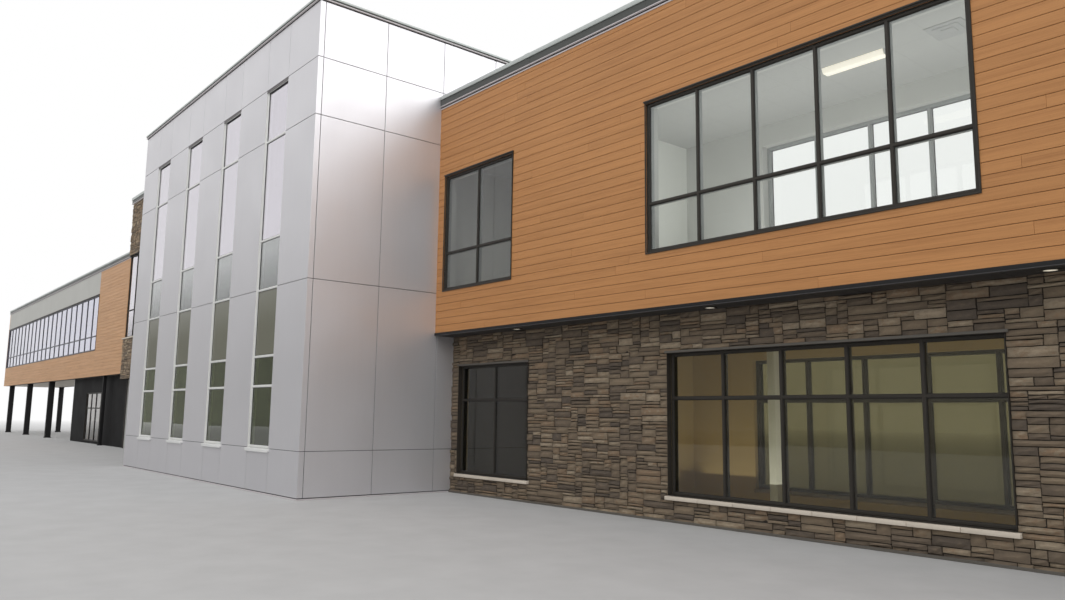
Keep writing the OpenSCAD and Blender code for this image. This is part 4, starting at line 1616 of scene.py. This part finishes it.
@dataclass
class Tower:
    """The tower: folded metal panels on its walls, tall windows, sills and coping."""

    walls: tuple[str, ...] = ("tower_front_wall", "tower_rear_wall", "tower_side_walls")
    joint: float = 0.006
    panel: float = 0.010
    bite: float = 0.001
    corner_return: float = 0.060
    side_pitch: float = 0.722
    levels: tuple[float, ...] = (0.450, 2.100, 3.750, 4.350)
    bands: tuple[float, float, float] = (1.39, 2.1, 2.64)
    deck: float = 4.700
    rounding: float = 0.0012
    foot_gap: float = 0.022
    foot_angle: float = 0.012
    foot_out: float = 0.006
    head_high: float = 0.028
    head_out: float = 0.002
    head_thick: float = 0.003
    drip_high: float = 0.009
    drip_gap: float = 0.002
    drip_out: float = 0.006
    wash: float = 0.005
    sill_drip: float = 0.008
    sill_thick: float = 0.003
    sill_lap: float = 0.002
    sill_inset: float = 0.001

    def __post_init__(self) -> None:
        """Reads the lowest and the highest corner of the tower's walls."""
        self.low, self.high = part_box(self.walls[0])[0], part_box(self.walls[1])[1]

    def build(self) -> None:
        """Builds the tower."""
        floor, opaque, sill_panes = self.bands
        self._slabs()
        self._panels()
        Windows("tower_window", "tower_window_frames", "tower_front_wall", (
            Panes("tower_glass", LAWN_REFLECTION_GLASS, "low_panes", high=floor),
            Panes("tower_spandrels", SPANDREL, "spandrel_panes", floor, opaque, "spandrel"),
            Panes("tower_glass", MID_COATED, "mid_panes", opaque, sill_panes),
            Panes("tower_glass", COATED, "high_panes", sill_panes)), SILVER, SILVER, "silver_frame").build()
        self._sills()
        self._heads()
        self._foot()
        # Its black strip is painted shade, a dark line for the shadow under the coping.
        Coping("tower_coping", (Side.FRONT, Side.REAR, Side.RIGHT), self.walls[:2],
               (Strip(0.002, 0.012, 0.0, 3),)).build()

    def _slabs(self) -> None:
        """Builds the slabs behind the panels."""
        bm = new_part()
        windows = solids("tower_window_frames")
        inset = self.panel - self.bite
        for node, side in zip(self.walls, (Side.FRONT, Side.REAR)):
            face = Face.of(*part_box(node), side, windows)
            absorb(bm, Backing().build(face, inset, (inset, inset), self.deck))
        for solid in solids(self.walls[2]):
            side = Side.LEFT if solid.middle.x < (self.low.x + self.high.x) / 2 else Side.RIGHT
            absorb(bm, Backing().build(Face.of(solid.low, solid.high, side), inset, parapet=self.deck))
        finish_piece(bm, "tower_wall_slabs", (JOINT, SHADE, ROOF), self.walls)

    def _panels(self) -> None:
        """Builds the panels of the four faces, folded round the corners."""
        windows = solids("tower_window_frames")
        bm = new_part()
        for side in Side:
            face = Face.of(self.low, self.high, side, windows)
            holes = face.holes if side in (Side.FRONT, Side.REAR) else ()
            face = replace(face, area=face.area._replace(bottom=self.foot_gap), holes=holes)
            absorb(bm, self._panel_sheet(face).bm, face.matrix())
        bmesh.ops.remove_doubles(bm, verts=bm.verts, dist=10 * TINY)
        bm.normal_update()
        set_tones(bm, random.Random("panels"))
        bmesh.ops.solidify(bm, geom=bm.faces[:], thickness=self.panel)
        bm.normal_update()
        soften(bm, self.rounding, 1)
        finish_piece(bm, "tower_folded_panels", (PANEL,), self.walls)

    def _panel_sheet(self, face: Face) -> Sheet:
        """Lays one face's panels, with open joints along the same lines as the wall's.

        Args:
            face: The face, with the holes of its windows.

        Returns:
            The sheet, still without thickness.
        """
        area = face.area
        beyond = area.grown(PAST)
        half = self.joint / 2
        sheet = Sheet(area)
        for level in self.levels:
            sheet.remove(beyond._replace(bottom=level - half, top=level + half))
        if face.side in (Side.LEFT, Side.RIGHT):
            at = self.corner_return
            while at < area.right - self.corner_return:
                place = at if face.side is Side.RIGHT else area.right - at
                sheet.remove(beyond._replace(left=place - half, right=place + half))
                at += self.side_pitch
        for hole in face.holes:
            sheet.remove(hole)
            for edge in (hole.left, hole.right):
                sheet.remove(Rect(edge - half, beyond.bottom, edge + half, hole.bottom))
                sheet.remove(Rect(edge - half, hole.top, edge + half, beyond.top))
        sheet.merge()
        return sheet

    def _sills(self) -> None:
        """Builds the folded sills, each with a sloped top and a drip edge."""
        bm = new_part()
        for sill in solids("tower_sills"):
            nose = add_sill(bm, sill.low, sill.high, self.wash)
            inner = nose + math.copysign(self.sill_thick, -nose)
            add_box(bm, (sill.low.x + self.sill_inset, min(nose, inner), sill.low.z - self.sill_drip),
                    (sill.high.x - self.sill_inset, max(nose, inner), sill.low.z + self.sill_lap))
        soften(bm, 1.5 * FINE)
        finish_piece(bm, "tower_sill_sheets", (WHITE_METAL,), ("tower_sills",))

    def _heads(self) -> None:
        """Builds the dark flashings at the heads of the tall windows, each with a drip above."""
        sheets = ((self.head_high, self.drip_high + self.drip_gap, self.head_out),
                  (self.drip_high, 0.0, self.drip_out))
        bm = new_part()
        for window in (s for s in solids("tower_window_frames") if s.middle.y < 0):
            for foot, top, out in sheets:
                add_box(bm, (window.low.x, self.low.y - out, window.high.z - foot),
                        (window.high.x, self.low.y + self.head_thick, window.high.z - top))
        soften(bm, FINE, 1)
        mirror_to_rear(bm, 0.0)
        finish_piece(bm, "tower_head_flashings", (HEAD,), ("tower_window_frames",))

    def _foot(self) -> None:
        """Builds the pale angle round the tower's foot, below the gap under the panels."""
        ring = Sheet.ring(Rect(*self.low.xy, *self.high.xy), self.foot_out, self.panel)
        ring.thicken(CLEAR_BY, self.foot_angle)
        soften(ring.bm, FINE, 1)
        finish_piece(ring.bm, "tower_foot_angle", (LIP,), self.walls)


@dataclass
class RightWing:
    """The right wing: boards over stone, with its windows, soffit, lights and rooms."""

    board: float = 0.0122
    stone: float = 0.030
    wall: float = 0.150
    floor: float = 2.0
    lip: float = 0.004
    strip: float = 0.018
    strip_out: float = 0.006
    ring: float = 0.014
    ring_chamfer: float = 0.003
    ring_slope: float = 0.004
    lens_at: float = 0.45
    base_out: float = 0.012
    base_high: float = 0.05

    def build(self) -> None:
        """Builds the wing."""
        deck = deck_below("wing_coping")
        windows = "wing_window_frames"
        boards, stones = BoardCladding(), StoneCladding()
        for node in ("wing_upper_front_wall", "wing_upper_rear_wall"):
            Wall(node, boards, BOARDS, "boards", (windows,), corner=Side.RIGHT, parapet=deck).build()
        Wall("wing_upper_end_wall", boards, BOARDS, "boards", side=Side.RIGHT,
             overlap=self.wall - self.board, parapet=deck).build()
        for node in ("wing_lower_front_wall", "wing_lower_rear_wall"):
            Wall(node, stones, STONE, "stone", (windows, "stone_sills"), corner=Side.RIGHT,
                 room=TAN_PLASTER, bed=MORTAR).build()
        Wall("wing_lower_end_wall", stones, STONE, "stone", side=Side.RIGHT,
             overlap=self.wall - self.stone, room=TAN_PLASTER, bed=MORTAR).build()
        Windows("wing_upper_window", windows, "wing_upper_front_wall", (Panes("wing_upper_glass", CLEAR),),
                inner_frame=INNER_FRAME, levels=(self.floor, math.inf)).build()
        Windows("wing_lower_window", windows, "wing_lower_front_wall",
                (Panes("wing_lower_glass", SHADED, rear_glass=GARDEN_SIDE),),
                levels=(0.0, self.floor)).build()
        Coping("wing_coping", (Side.FRONT, Side.REAR, Side.RIGHT),
               ("wing_upper_front_wall", "wing_upper_rear_wall", "wing_upper_end_wall")).build()
        self._trim()
        self._strips()
        self._downlights()
        self._rooms()

    def _by_storey(self, side: BMFace) -> bool:
        """Whether a face belongs to the lower storey, which has the second finish."""
        return side.calc_center_median().z < self.floor

    def _trim(self) -> None:
        """Builds the soffit, the trim with its pale lip and the window casings."""
        dress_node("wing_soffit", "wing_soffit_panels", SOFFIT, FINE)
        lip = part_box("wing_trim")[0].z + self.lip
        bm = refined("wing_trim", 1.5 * FINE)
        bmesh.ops.bisect_plane(bm, geom=everything(bm), dist=TINY, plane_co=(0.0, 0.0, lip), plane_no=UP)
        mark(bm, lambda side: side.calc_center_median().z < lip)
        finish_piece(bm, "wing_trim_sheet", (TRIM, TRIM_LIP), ("wing_trim",))
        dress_node("window_casings", "window_casing_sheets", BRONZE, 2 * FINE, 2)

    def _strips(self) -> None:
        """Builds the metal strips at the stone's foot and over the windows in it."""
        low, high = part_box("wing_lower_front_wall")[0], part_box("wing_lower_end_wall")[1]
        high.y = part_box("wing_lower_rear_wall")[1].y
        plan = Rect(*low.xy, *high.xy)
        beyond = plan.grown(PAST)
        foot = Sheet(plan.grown(self.strip_out))
        foot.remove(plan.grown(-self.stone)._replace(left=beyond.left))
        foot.remove(beyond._replace(right=low.x + TINY))
        foot.thicken(CLEAR_BY, self.strip)
        heads = new_part()
        for window in solids("wing_window_frames"):
            if window.middle.y < 0 and window.middle.z < self.floor:
                add_box(heads, (window.low.x - self.strip, low.y - self.strip_out, window.high.z),
                        (window.high.x + self.strip, low.y + self.stone, window.high.z + self.strip))
        mirror_to_rear(heads, (low.y + high.y) / 2)
        absorb(foot.bm, heads)
        soften(foot.bm, FINE, 1)
        finish_piece(foot.bm, "stone_edge_strips", (STRIP,),
                     ("wing_lower_front_wall", "wing_lower_rear_wall", "wing_lower_end_wall"))

    def _downlights(self) -> None:
        """Builds the round lights of the soffit: a turned ring with a lens set into it."""
        rings, lenses = new_part(), new_part()
        for light in solids("soffit_lights"):
            radius = (light.high.x - light.low.x) / 2
            drop = light.high.z - light.low.z
            top = Vector((light.middle.x, light.middle.y, light.high.z))
            well = radius - self.ring - self.ring_slope
            profile = [(radius, 0.0), (radius, 0.6), (radius - self.ring_chamfer, 1.0),
                       (radius - self.ring, 1.0), (well, 0.3), (well, 0.0)]
            verts = [rings.verts.new(top + Vector((x, 0.0, -z * drop))) for x, z in profile]
            edges = [rings.edges.new(pair) for pair in pairwise(verts)]
            bmesh.ops.spin(rings, geom=verts + edges, cent=top, axis=UP, angle=math.tau, steps=32,
                           use_merge=True)
            bmesh.ops.create_circle(lenses, cap_ends=True, radius=radius - self.ring, segments=24,
                                    matrix=Matrix.Translation(top - UP * drop * self.lens_at))
        bmesh.ops.recalc_face_normals(rings, faces=rings.faces)
        bmesh.ops.reverse_faces(lenses, faces=lenses.faces)
        finish_piece(rings, "soffit_light_rings", (BRONZE,), ("soffit_lights",))
        finish_piece(lenses, "soffit_light_lenses", (LENS,), ("soffit_lights",))

    def _rooms(self) -> None:
        """Builds what shows through the glass: ceiling, lamp, grille, walls and column."""
        dress_node("upper_ceiling", "upper_ceiling_tiles", CEILING, FINE)
        lamp = refined("ceiling_light", 2 * FINE)
        lamp.normal_update()
        mark(lamp, lambda side: side.normal.z >= -0.2 or abs(side.normal.x) >= FACING)
        finish_piece(lamp, "ceiling_lamp", (LENS, HOUSING), ("ceiling_light",))
        dress_node("ceiling_grille", "ceiling_air_grille", GRILLE, 1.5 * FINE, 2)
        for node, name, finishes in (
                ("wing_lining", "wing_lining_boards", (PLASTER, SHADE)),
                ("partition_walls", "partition_wall_boards", (WHITE_PLASTER, TAN_PLASTER))):
            finish_piece(mark(refined(node, FINE, 1), self._by_storey), name, finishes, (node,))
        column = refined("inner_column", 4 * FINE)
        low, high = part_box("inner_column")
        out = Vector((self.base_out, self.base_out, 0.0))
        add_box(column, low - out, (high.x + out.x, high.y + out.y, low.z + self.base_high))
        finish_piece(column, "inner_column_casing", (WHITE_PLASTER,), ("inner_column",))


@dataclass
class Pavilion:
    """The stone pavilion, with its wide window, coping and entrance recesses."""

    deck: float = 5.050
    stone: float = 0.030
    wall: float = 0.150
    tuck: float = 0.05

    def build(self) -> None:
        """Builds the pavilion."""
        for node in ("pavilion_front_wall", "pavilion_rear_wall"):
            Wall(node, StoneCladding(), PALE_STONE, "stone", ("pavilion_window_frames", "stone_sills"),
                 corner=Side.LEFT, parapet=self.deck, bed=MORTAR).build()
        self._sides()
        Windows("pavilion_window", "pavilion_window_frames", "pavilion_front_wall",
                (Panes("pavilion_glass", COATED),), open_left=True).build()
        Coping("pavilion_coping", (Side.FRONT, Side.REAR, Side.LEFT)).build()
        dress_node("entrance_walls", "entrance_wall_panels", BLOCK_SEAMED, 2 * FINE)

    def _sides(self) -> None:
        """Builds the side walls; their stones leave out what the wing, block and tower cover."""
        rng = random.Random("pavilion_sides")
        low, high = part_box("pavilion_front_wall")[0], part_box("pavilion_rear_wall")[1]
        tower_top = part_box("tower_front_wall")[1].z
        cladding = StoneCladding()
        bm = new_part()
        for solid in solids("pavilion_side_walls"):
            left = solid.middle.x < (low.x + high.x) / 2
            side = Side.LEFT if left else Side.RIGHT
            slab = Face.of(solid.low, solid.high, side)
            absorb(bm, Backing().build(slab, cladding.inset, parapet=self.deck))
            whole = Face.of(Vector((low.x, low.y, 0.0)), high, side)
            bottom = 0.0 if left else tower_top - self.tuck
            area = Rect(self.stone, bottom, high.y - low.y - self.stone, high.z)
            holes = tuple(self._within(rect, area) for rect in self._covered(low, high)) if left else ()
            cladding.cover(bm, replace(whole, area=area, holes=holes), rng)
        finish_piece(bm, "pavilion_side_cladding", (MORTAR, PLASTER, ROOF, PALE_STONE),
                     ("pavilion_side_walls",), False)

    def _covered(self, low: Vector, high: Vector) -> list[Rect]:
        """Finds what stands against the left side wall.

        Args:
            low: Lowest corner of the pavilion's walls.
            high: Their highest corner.

        Returns:
            The recesses, the far wing, its ground block and the window's reveal, as seen from the left.
        """
        wing_low, wing_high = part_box("far_full_walls")
        block_low, block_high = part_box("block_long_walls")
        window = solids("pavilion_window_frames")[0]
        sill = next(s for s in solids("stone_sills") if abs(s.low.x - low.x) < TINY)
        width = high.y - low.y
        return [Rect(-PAST, -PAST, self.wall, low.z), Rect(width - self.wall, -PAST, width + PAST, low.z),
                Rect(high.y - wing_high.y, wing_low.z, high.y - wing_low.y, wing_high.z),
                Rect(high.y - block_high.y, -PAST, high.y - block_low.y, wing_low.z),
                Rect(high.y - wing_low.y, sill.low.z, width + PAST, window.high.z)]

    @staticmethod
    def _within(rect: Rect, area: Rect) -> Rect:
        """The part of a rectangle that lies in an area."""
        return Rect(max(rect.left, area.left), max(rect.bottom, area.bottom),
                    min(rect.right, area.right), min(rect.top, area.top))


@dataclass
class FarWing:
    """The far wing on its columns, with its ribbon windows, portico and ground block."""

    board: float = 0.0122
    end: float = 0.1
    plate_out: float = 0.012
    shoe_high: float = 0.03
    head_high: float = 0.012
    angle: float = 0.024
    angle_thick: float = 0.002
    angle_out: float = 0.001
    block_overlap: float = 0.14

    def build(self) -> None:
        """Builds the wing."""
        deck = deck_below("far_coping")
        for node in ("far_low_walls", "far_full_walls"):
            Wall(node, BoardCladding(), FAR_BOARDS, "boards", parapet=deck).build()
        Wall("far_band_walls", PanelCladding(), BAND, "grey_band", parapet=deck).build()
        self._end(deck)
        Coping("far_coping", (Side.FRONT, Side.REAR, Side.LEFT), ("far_full_walls", "far_end_wall")).build()
        Windows("ribbon", "ribbon_frames", "far_low_walls", (Panes("ribbon_glass", BLUE_COATED),),
                BLUE_FRAME, BLUE_FRAME).build()
        self._portico()
        self._block()

    def _end(self, deck: float) -> None:
        """Builds the end wall, with boards on its outer face and on its two narrow edges.

        Args:
            deck: Height of the roof deck.
        """
        rng = random.Random("far_end")
        low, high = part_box("far_end_wall")
        cladding = BoardCladding()
        back = Vector((0.0, cladding.inset, 0.0))
        slab = Face.of(low + back, high - back, Side.LEFT)
        bm = Backing(self.end).build(slab, cladding.inset, parapet=deck)
        for side in (Side.LEFT, Side.FRONT, Side.REAR):
            face = Face.of(low, high, side)
            area = face.area
            if side is Side.FRONT:
                area = area._replace(left=area.left + self.board)
            if side is Side.REAR:
                area = area._replace(right=area.right - self.board)
            cladding.cover(bm, replace(face, area=area), rng)
        finish_piece(bm, "far_end_cladding", (BACKING, PLASTER, ROOF, FAR_BOARDS),
                     ("far_end_wall",))

    def _portico(self) -> None:
        """Builds the soffits, and the columns with their shoes and head plates."""
        dress_node("portico_soffit", "portico_soffit_panels", PALE_SOFFIT, FINE)
        bm = refined("portico_columns", 4 * FINE)
        for column in solids("portico_columns"):
            left, front = column.low.x - self.plate_out, column.low.y - self.plate_out
            right, rear = column.high.x + self.plate_out, column.high.y + self.plate_out
            part = new_part()
            add_box(part, (left, front, column.low.z), (right, rear, self.shoe_high))
            add_box(part, (left, front, column.high.z - self.head_high),
                    (right, rear, column.high.z - CLEAR_BY))
            soften(part, 3 * FINE)
            absorb(bm, part)
        finish_piece(bm, "portico_column_casings", (COLUMN,), ("portico_columns",))

    def _block(self) -> None:
        """Builds the ground block, its pale corner angles and its entrance screens."""
        Wall("block_long_walls", PanelCladding(), BLOCK, "block_panel", ("screen_frame",),
             room=TAN_PLASTER).build()
        Wall("block_end_wall", PanelCladding(), BLOCK, "block_panel", side=Side.LEFT,
             overlap=self.block_overlap, room=TAN_PLASTER).build()
        Windows("screen", "screen_frame", "block_long_walls", (Panes("screen_glass", WARM_REFLECTION_GLASS),)).build()
        low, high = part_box("block_long_walls")
        left, thick, leg = low.x - self.angle_out, self.angle_thick, self.angle
        bm = new_part()
        for y, turn in ((low.y, 1.0), (high.y, -1.0)):
            for across, deep in ((leg, thick), (thick, leg)):
                front, rear = sorted((y - turn * self.angle_out, y + turn * deep))
                add_box(bm, (left, front, 0.0), (low.x + across, rear, high.z - thick))
        finish_piece(bm, "block_corner_angles", (SILVER,))


@dataclass
class Decks:
    """Ground slabs, floors and roof decks: tiles inside, membrane on the roofs."""

    rounding: float = 0.003

    def build(self) -> None:
        """Builds the decks."""
        for node, top, under, slot in (("ground_slabs", FLOOR, CONCRETE, "concrete"),
                                       ("upper_floors", FLOOR, WARM_CEILING, "concrete"),
                                       ("roof_decks", ROOF, CEILING, "roof_sheet")):
            bm = refined(node, self.rounding, 1)
            bm.normal_update()
            mark(bm, lambda side: side.normal.z <= FACING)
            finish_piece(bm, node + "_surfaces", (top, under), (node,))


@dataclass
class Studio:
    """Camera, lamps, backdrop and floor."""

    position: tuple[float, float, float] = (7.5127, -3.4687, 0.8171)
    azimuth: float = 50.015
    tilt: float = 7.804
    roll: float = 0.736
    lens: float = 28.393
    sky: float = 0.72
    suns: tuple[tuple[str, float, float, Colour], ...] = (
        ("key", 1.1, 60.0, (-0.55, 0.6, -1.0)), ("fill", 0.95, 50.0, (-0.75, -0.42, -0.5)))
    room_lamps: tuple[tuple[str, float, float], ...] = (("upper_room", 2.25, 23.0), ("lower_room", 0.3, 14.5))
    room_ends: tuple[float, float] = (0.1, 1.7)
    room_width: float = 1.0
    floor_radius: float = 160.0
    floor_fade: tuple[float, float] = (19.0, 55.0)
    flag_area: Rect = Rect(-66.0, 0.0, 50.0, 9.5)
    flag_y: float = -16.5
    flag_fade: float = 5.5

    def build(self) -> None:
        """Sets up the studio."""
        bpy.context.scene.view_settings.view_transform = "Standard"
        self._camera()
        self._world()
        self._suns()
        self._room_lamps()
        self._floor()
        self._flag()

    def _camera(self) -> None:
        """Places the camera where the photograph was taken from."""
        low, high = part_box("tower_front_wall")
        turn, tilt, roll = (math.radians(value) for value in (self.azimuth, self.tilt, self.roll))
        ahead = Vector((-math.sin(turn) * math.cos(tilt), math.cos(turn) * math.cos(tilt), math.sin(tilt)))
        right = Vector((math.cos(turn), math.sin(turn), 0.0))
        above = right.cross(ahead)
        level = right * math.cos(roll) + above * math.sin(roll)
        upward = above * math.cos(roll) - right * math.sin(roll)
        data = bpy.data.cameras.new("camera")
        data.lens = self.lens
        data.sensor_width = 36.0
        data.clip_end = 500.0
        camera = linked("camera", data)
        place = Matrix((level, upward, -ahead)).transposed().to_4x4()
        camera.matrix_world = Matrix.Translation(Vector((high.x, low.y, 0.0)) + Vector(self.position)) @ place
        bpy.context.scene.camera = camera

    def _world(self) -> None:
        """Makes a backdrop that looks white and lights the building softly."""
        world = bpy.data.worlds.new("studio")
        world.use_nodes = True
        bpy.context.scene.world = world
        graph = Graph(world.node_tree)
        paths = graph.add("LightPath").outputs
        seen = graph.math("MAXIMUM", paths["Is Camera Ray"], paths["Is Glossy Ray"])
        seen = graph.math("MAXIMUM", seen, paths["Is Transmission Ray"])
        strength = graph.spread(seen, 0.0, 1.0, self.sky, 1.0)
        graph.give(world.node_tree.nodes["Background"], {"Color": (1.0, 1.0, 1.0, 1.0), "Strength": strength})

    def _suns(self) -> None:
        """Adds wide soft lights from above the front and the right."""
        for name, energy, angle, direction in self.suns:
            data = bpy.data.lights.new(name, "SUN")
            data.energy = energy
            data.angle = math.radians(angle)
            linked(name, data).rotation_euler = Vector(direction).to_track_quat("-Z", "Y").to_euler()

    def _room_lamps(self) -> None:
        """Adds a soft light to each of the large rooms, which shines at the ceiling."""
        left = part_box("partition_walls")[1].x + self.room_ends[0]
        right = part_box("upper_ceiling")[1].x - self.room_ends[1]
        for name, height, energy in self.room_lamps:
            data = bpy.data.lights.new(name, "AREA")
            data.shape = "RECTANGLE"
            data.size = right - left
            data.size_y = self.room_width
            data.energy = energy
            lamp = linked(name, data)
            lamp.location = ((left + right) / 2, 0.0, height)
            lamp.rotation_euler = (math.pi, 0.0, 0.0)
            hide_from(lamp, "camera", "glossy", "transmission")

    def _floor(self) -> None:
        """Lays a pale floor that fades into the backdrop."""
        bm = bmesh.new()
        bmesh.ops.create_circle(bm, cap_ends=True, radius=self.floor_radius, segments=96)
        look = Look("pale_floor")
        graph = look.graph
        place = graph.add("TexCoord").outputs["Object"]
        away = graph.add("VectorMath", {0: place}, operation="LENGTH").outputs["Value"]
        grain = graph.spread(graph.noise(place, 3.0), 0.3, 0.7, 0.0, 1.0)
        look.set(Base_Color=graph.ramp(grain, [(0.0, (0.43, 0.43, 0.43)), (1.0, (0.47, 0.47, 0.47))]),
                 Roughness=0.9)
        glow = graph.add("Emission", {"Color": (1.0, 1.0, 1.0, 1.0), "Strength": 1.0})
        fade = graph.spread(away, *self.floor_fade, 0.0, 1.0)
        blend = graph.add("MixShader", {0: fade, 1: look.surface.outputs[0], 2: glow.outputs[0]})
        graph.give(graph.tree.nodes["Material Output"], {"Surface": blend.outputs[0]})
        floor = new_object(bm, "floor", (look.material,))

    def _flag(self) -> None:
        """Stands a grey card in front, soft at its top, that gives metal and glass a horizon to reflect."""
        card = Sheet(self.flag_area).bm
        card.transform(Side.FRONT.axes_at((0.0, self.flag_y, 0.0)))
        look = Look("grey_flag")
        place = look.graph.add("SeparateXYZ", {0: look.graph.add("TexCoord").outputs["Object"]}).outputs
        fade = look.graph.spread(place["Z"], self.flag_fade, self.flag_area.top, 1.0, 0.0)
        look.set(Alpha=fade, Base_Color=(0.20, 0.195, 0.18, 1.0), Roughness=1.0)
        flag = new_object(card, "flag", (look.material,))
        hide_from(flag, "camera", "diffuse", "transmission", "shadow")


def main() -> None:
    """Builds the building's looks, piece by piece."""
    for part in (Tower(), RightWing(), Pavilion(), FarWing(), CastSills(), Decks()):
        LOG.info("building %s", type(part).__name__)
        part.build()
    Studio().build()


if __name__ == "__main__":
    logging.basicConfig(level=logging.INFO, format="%(message)s")
    main()
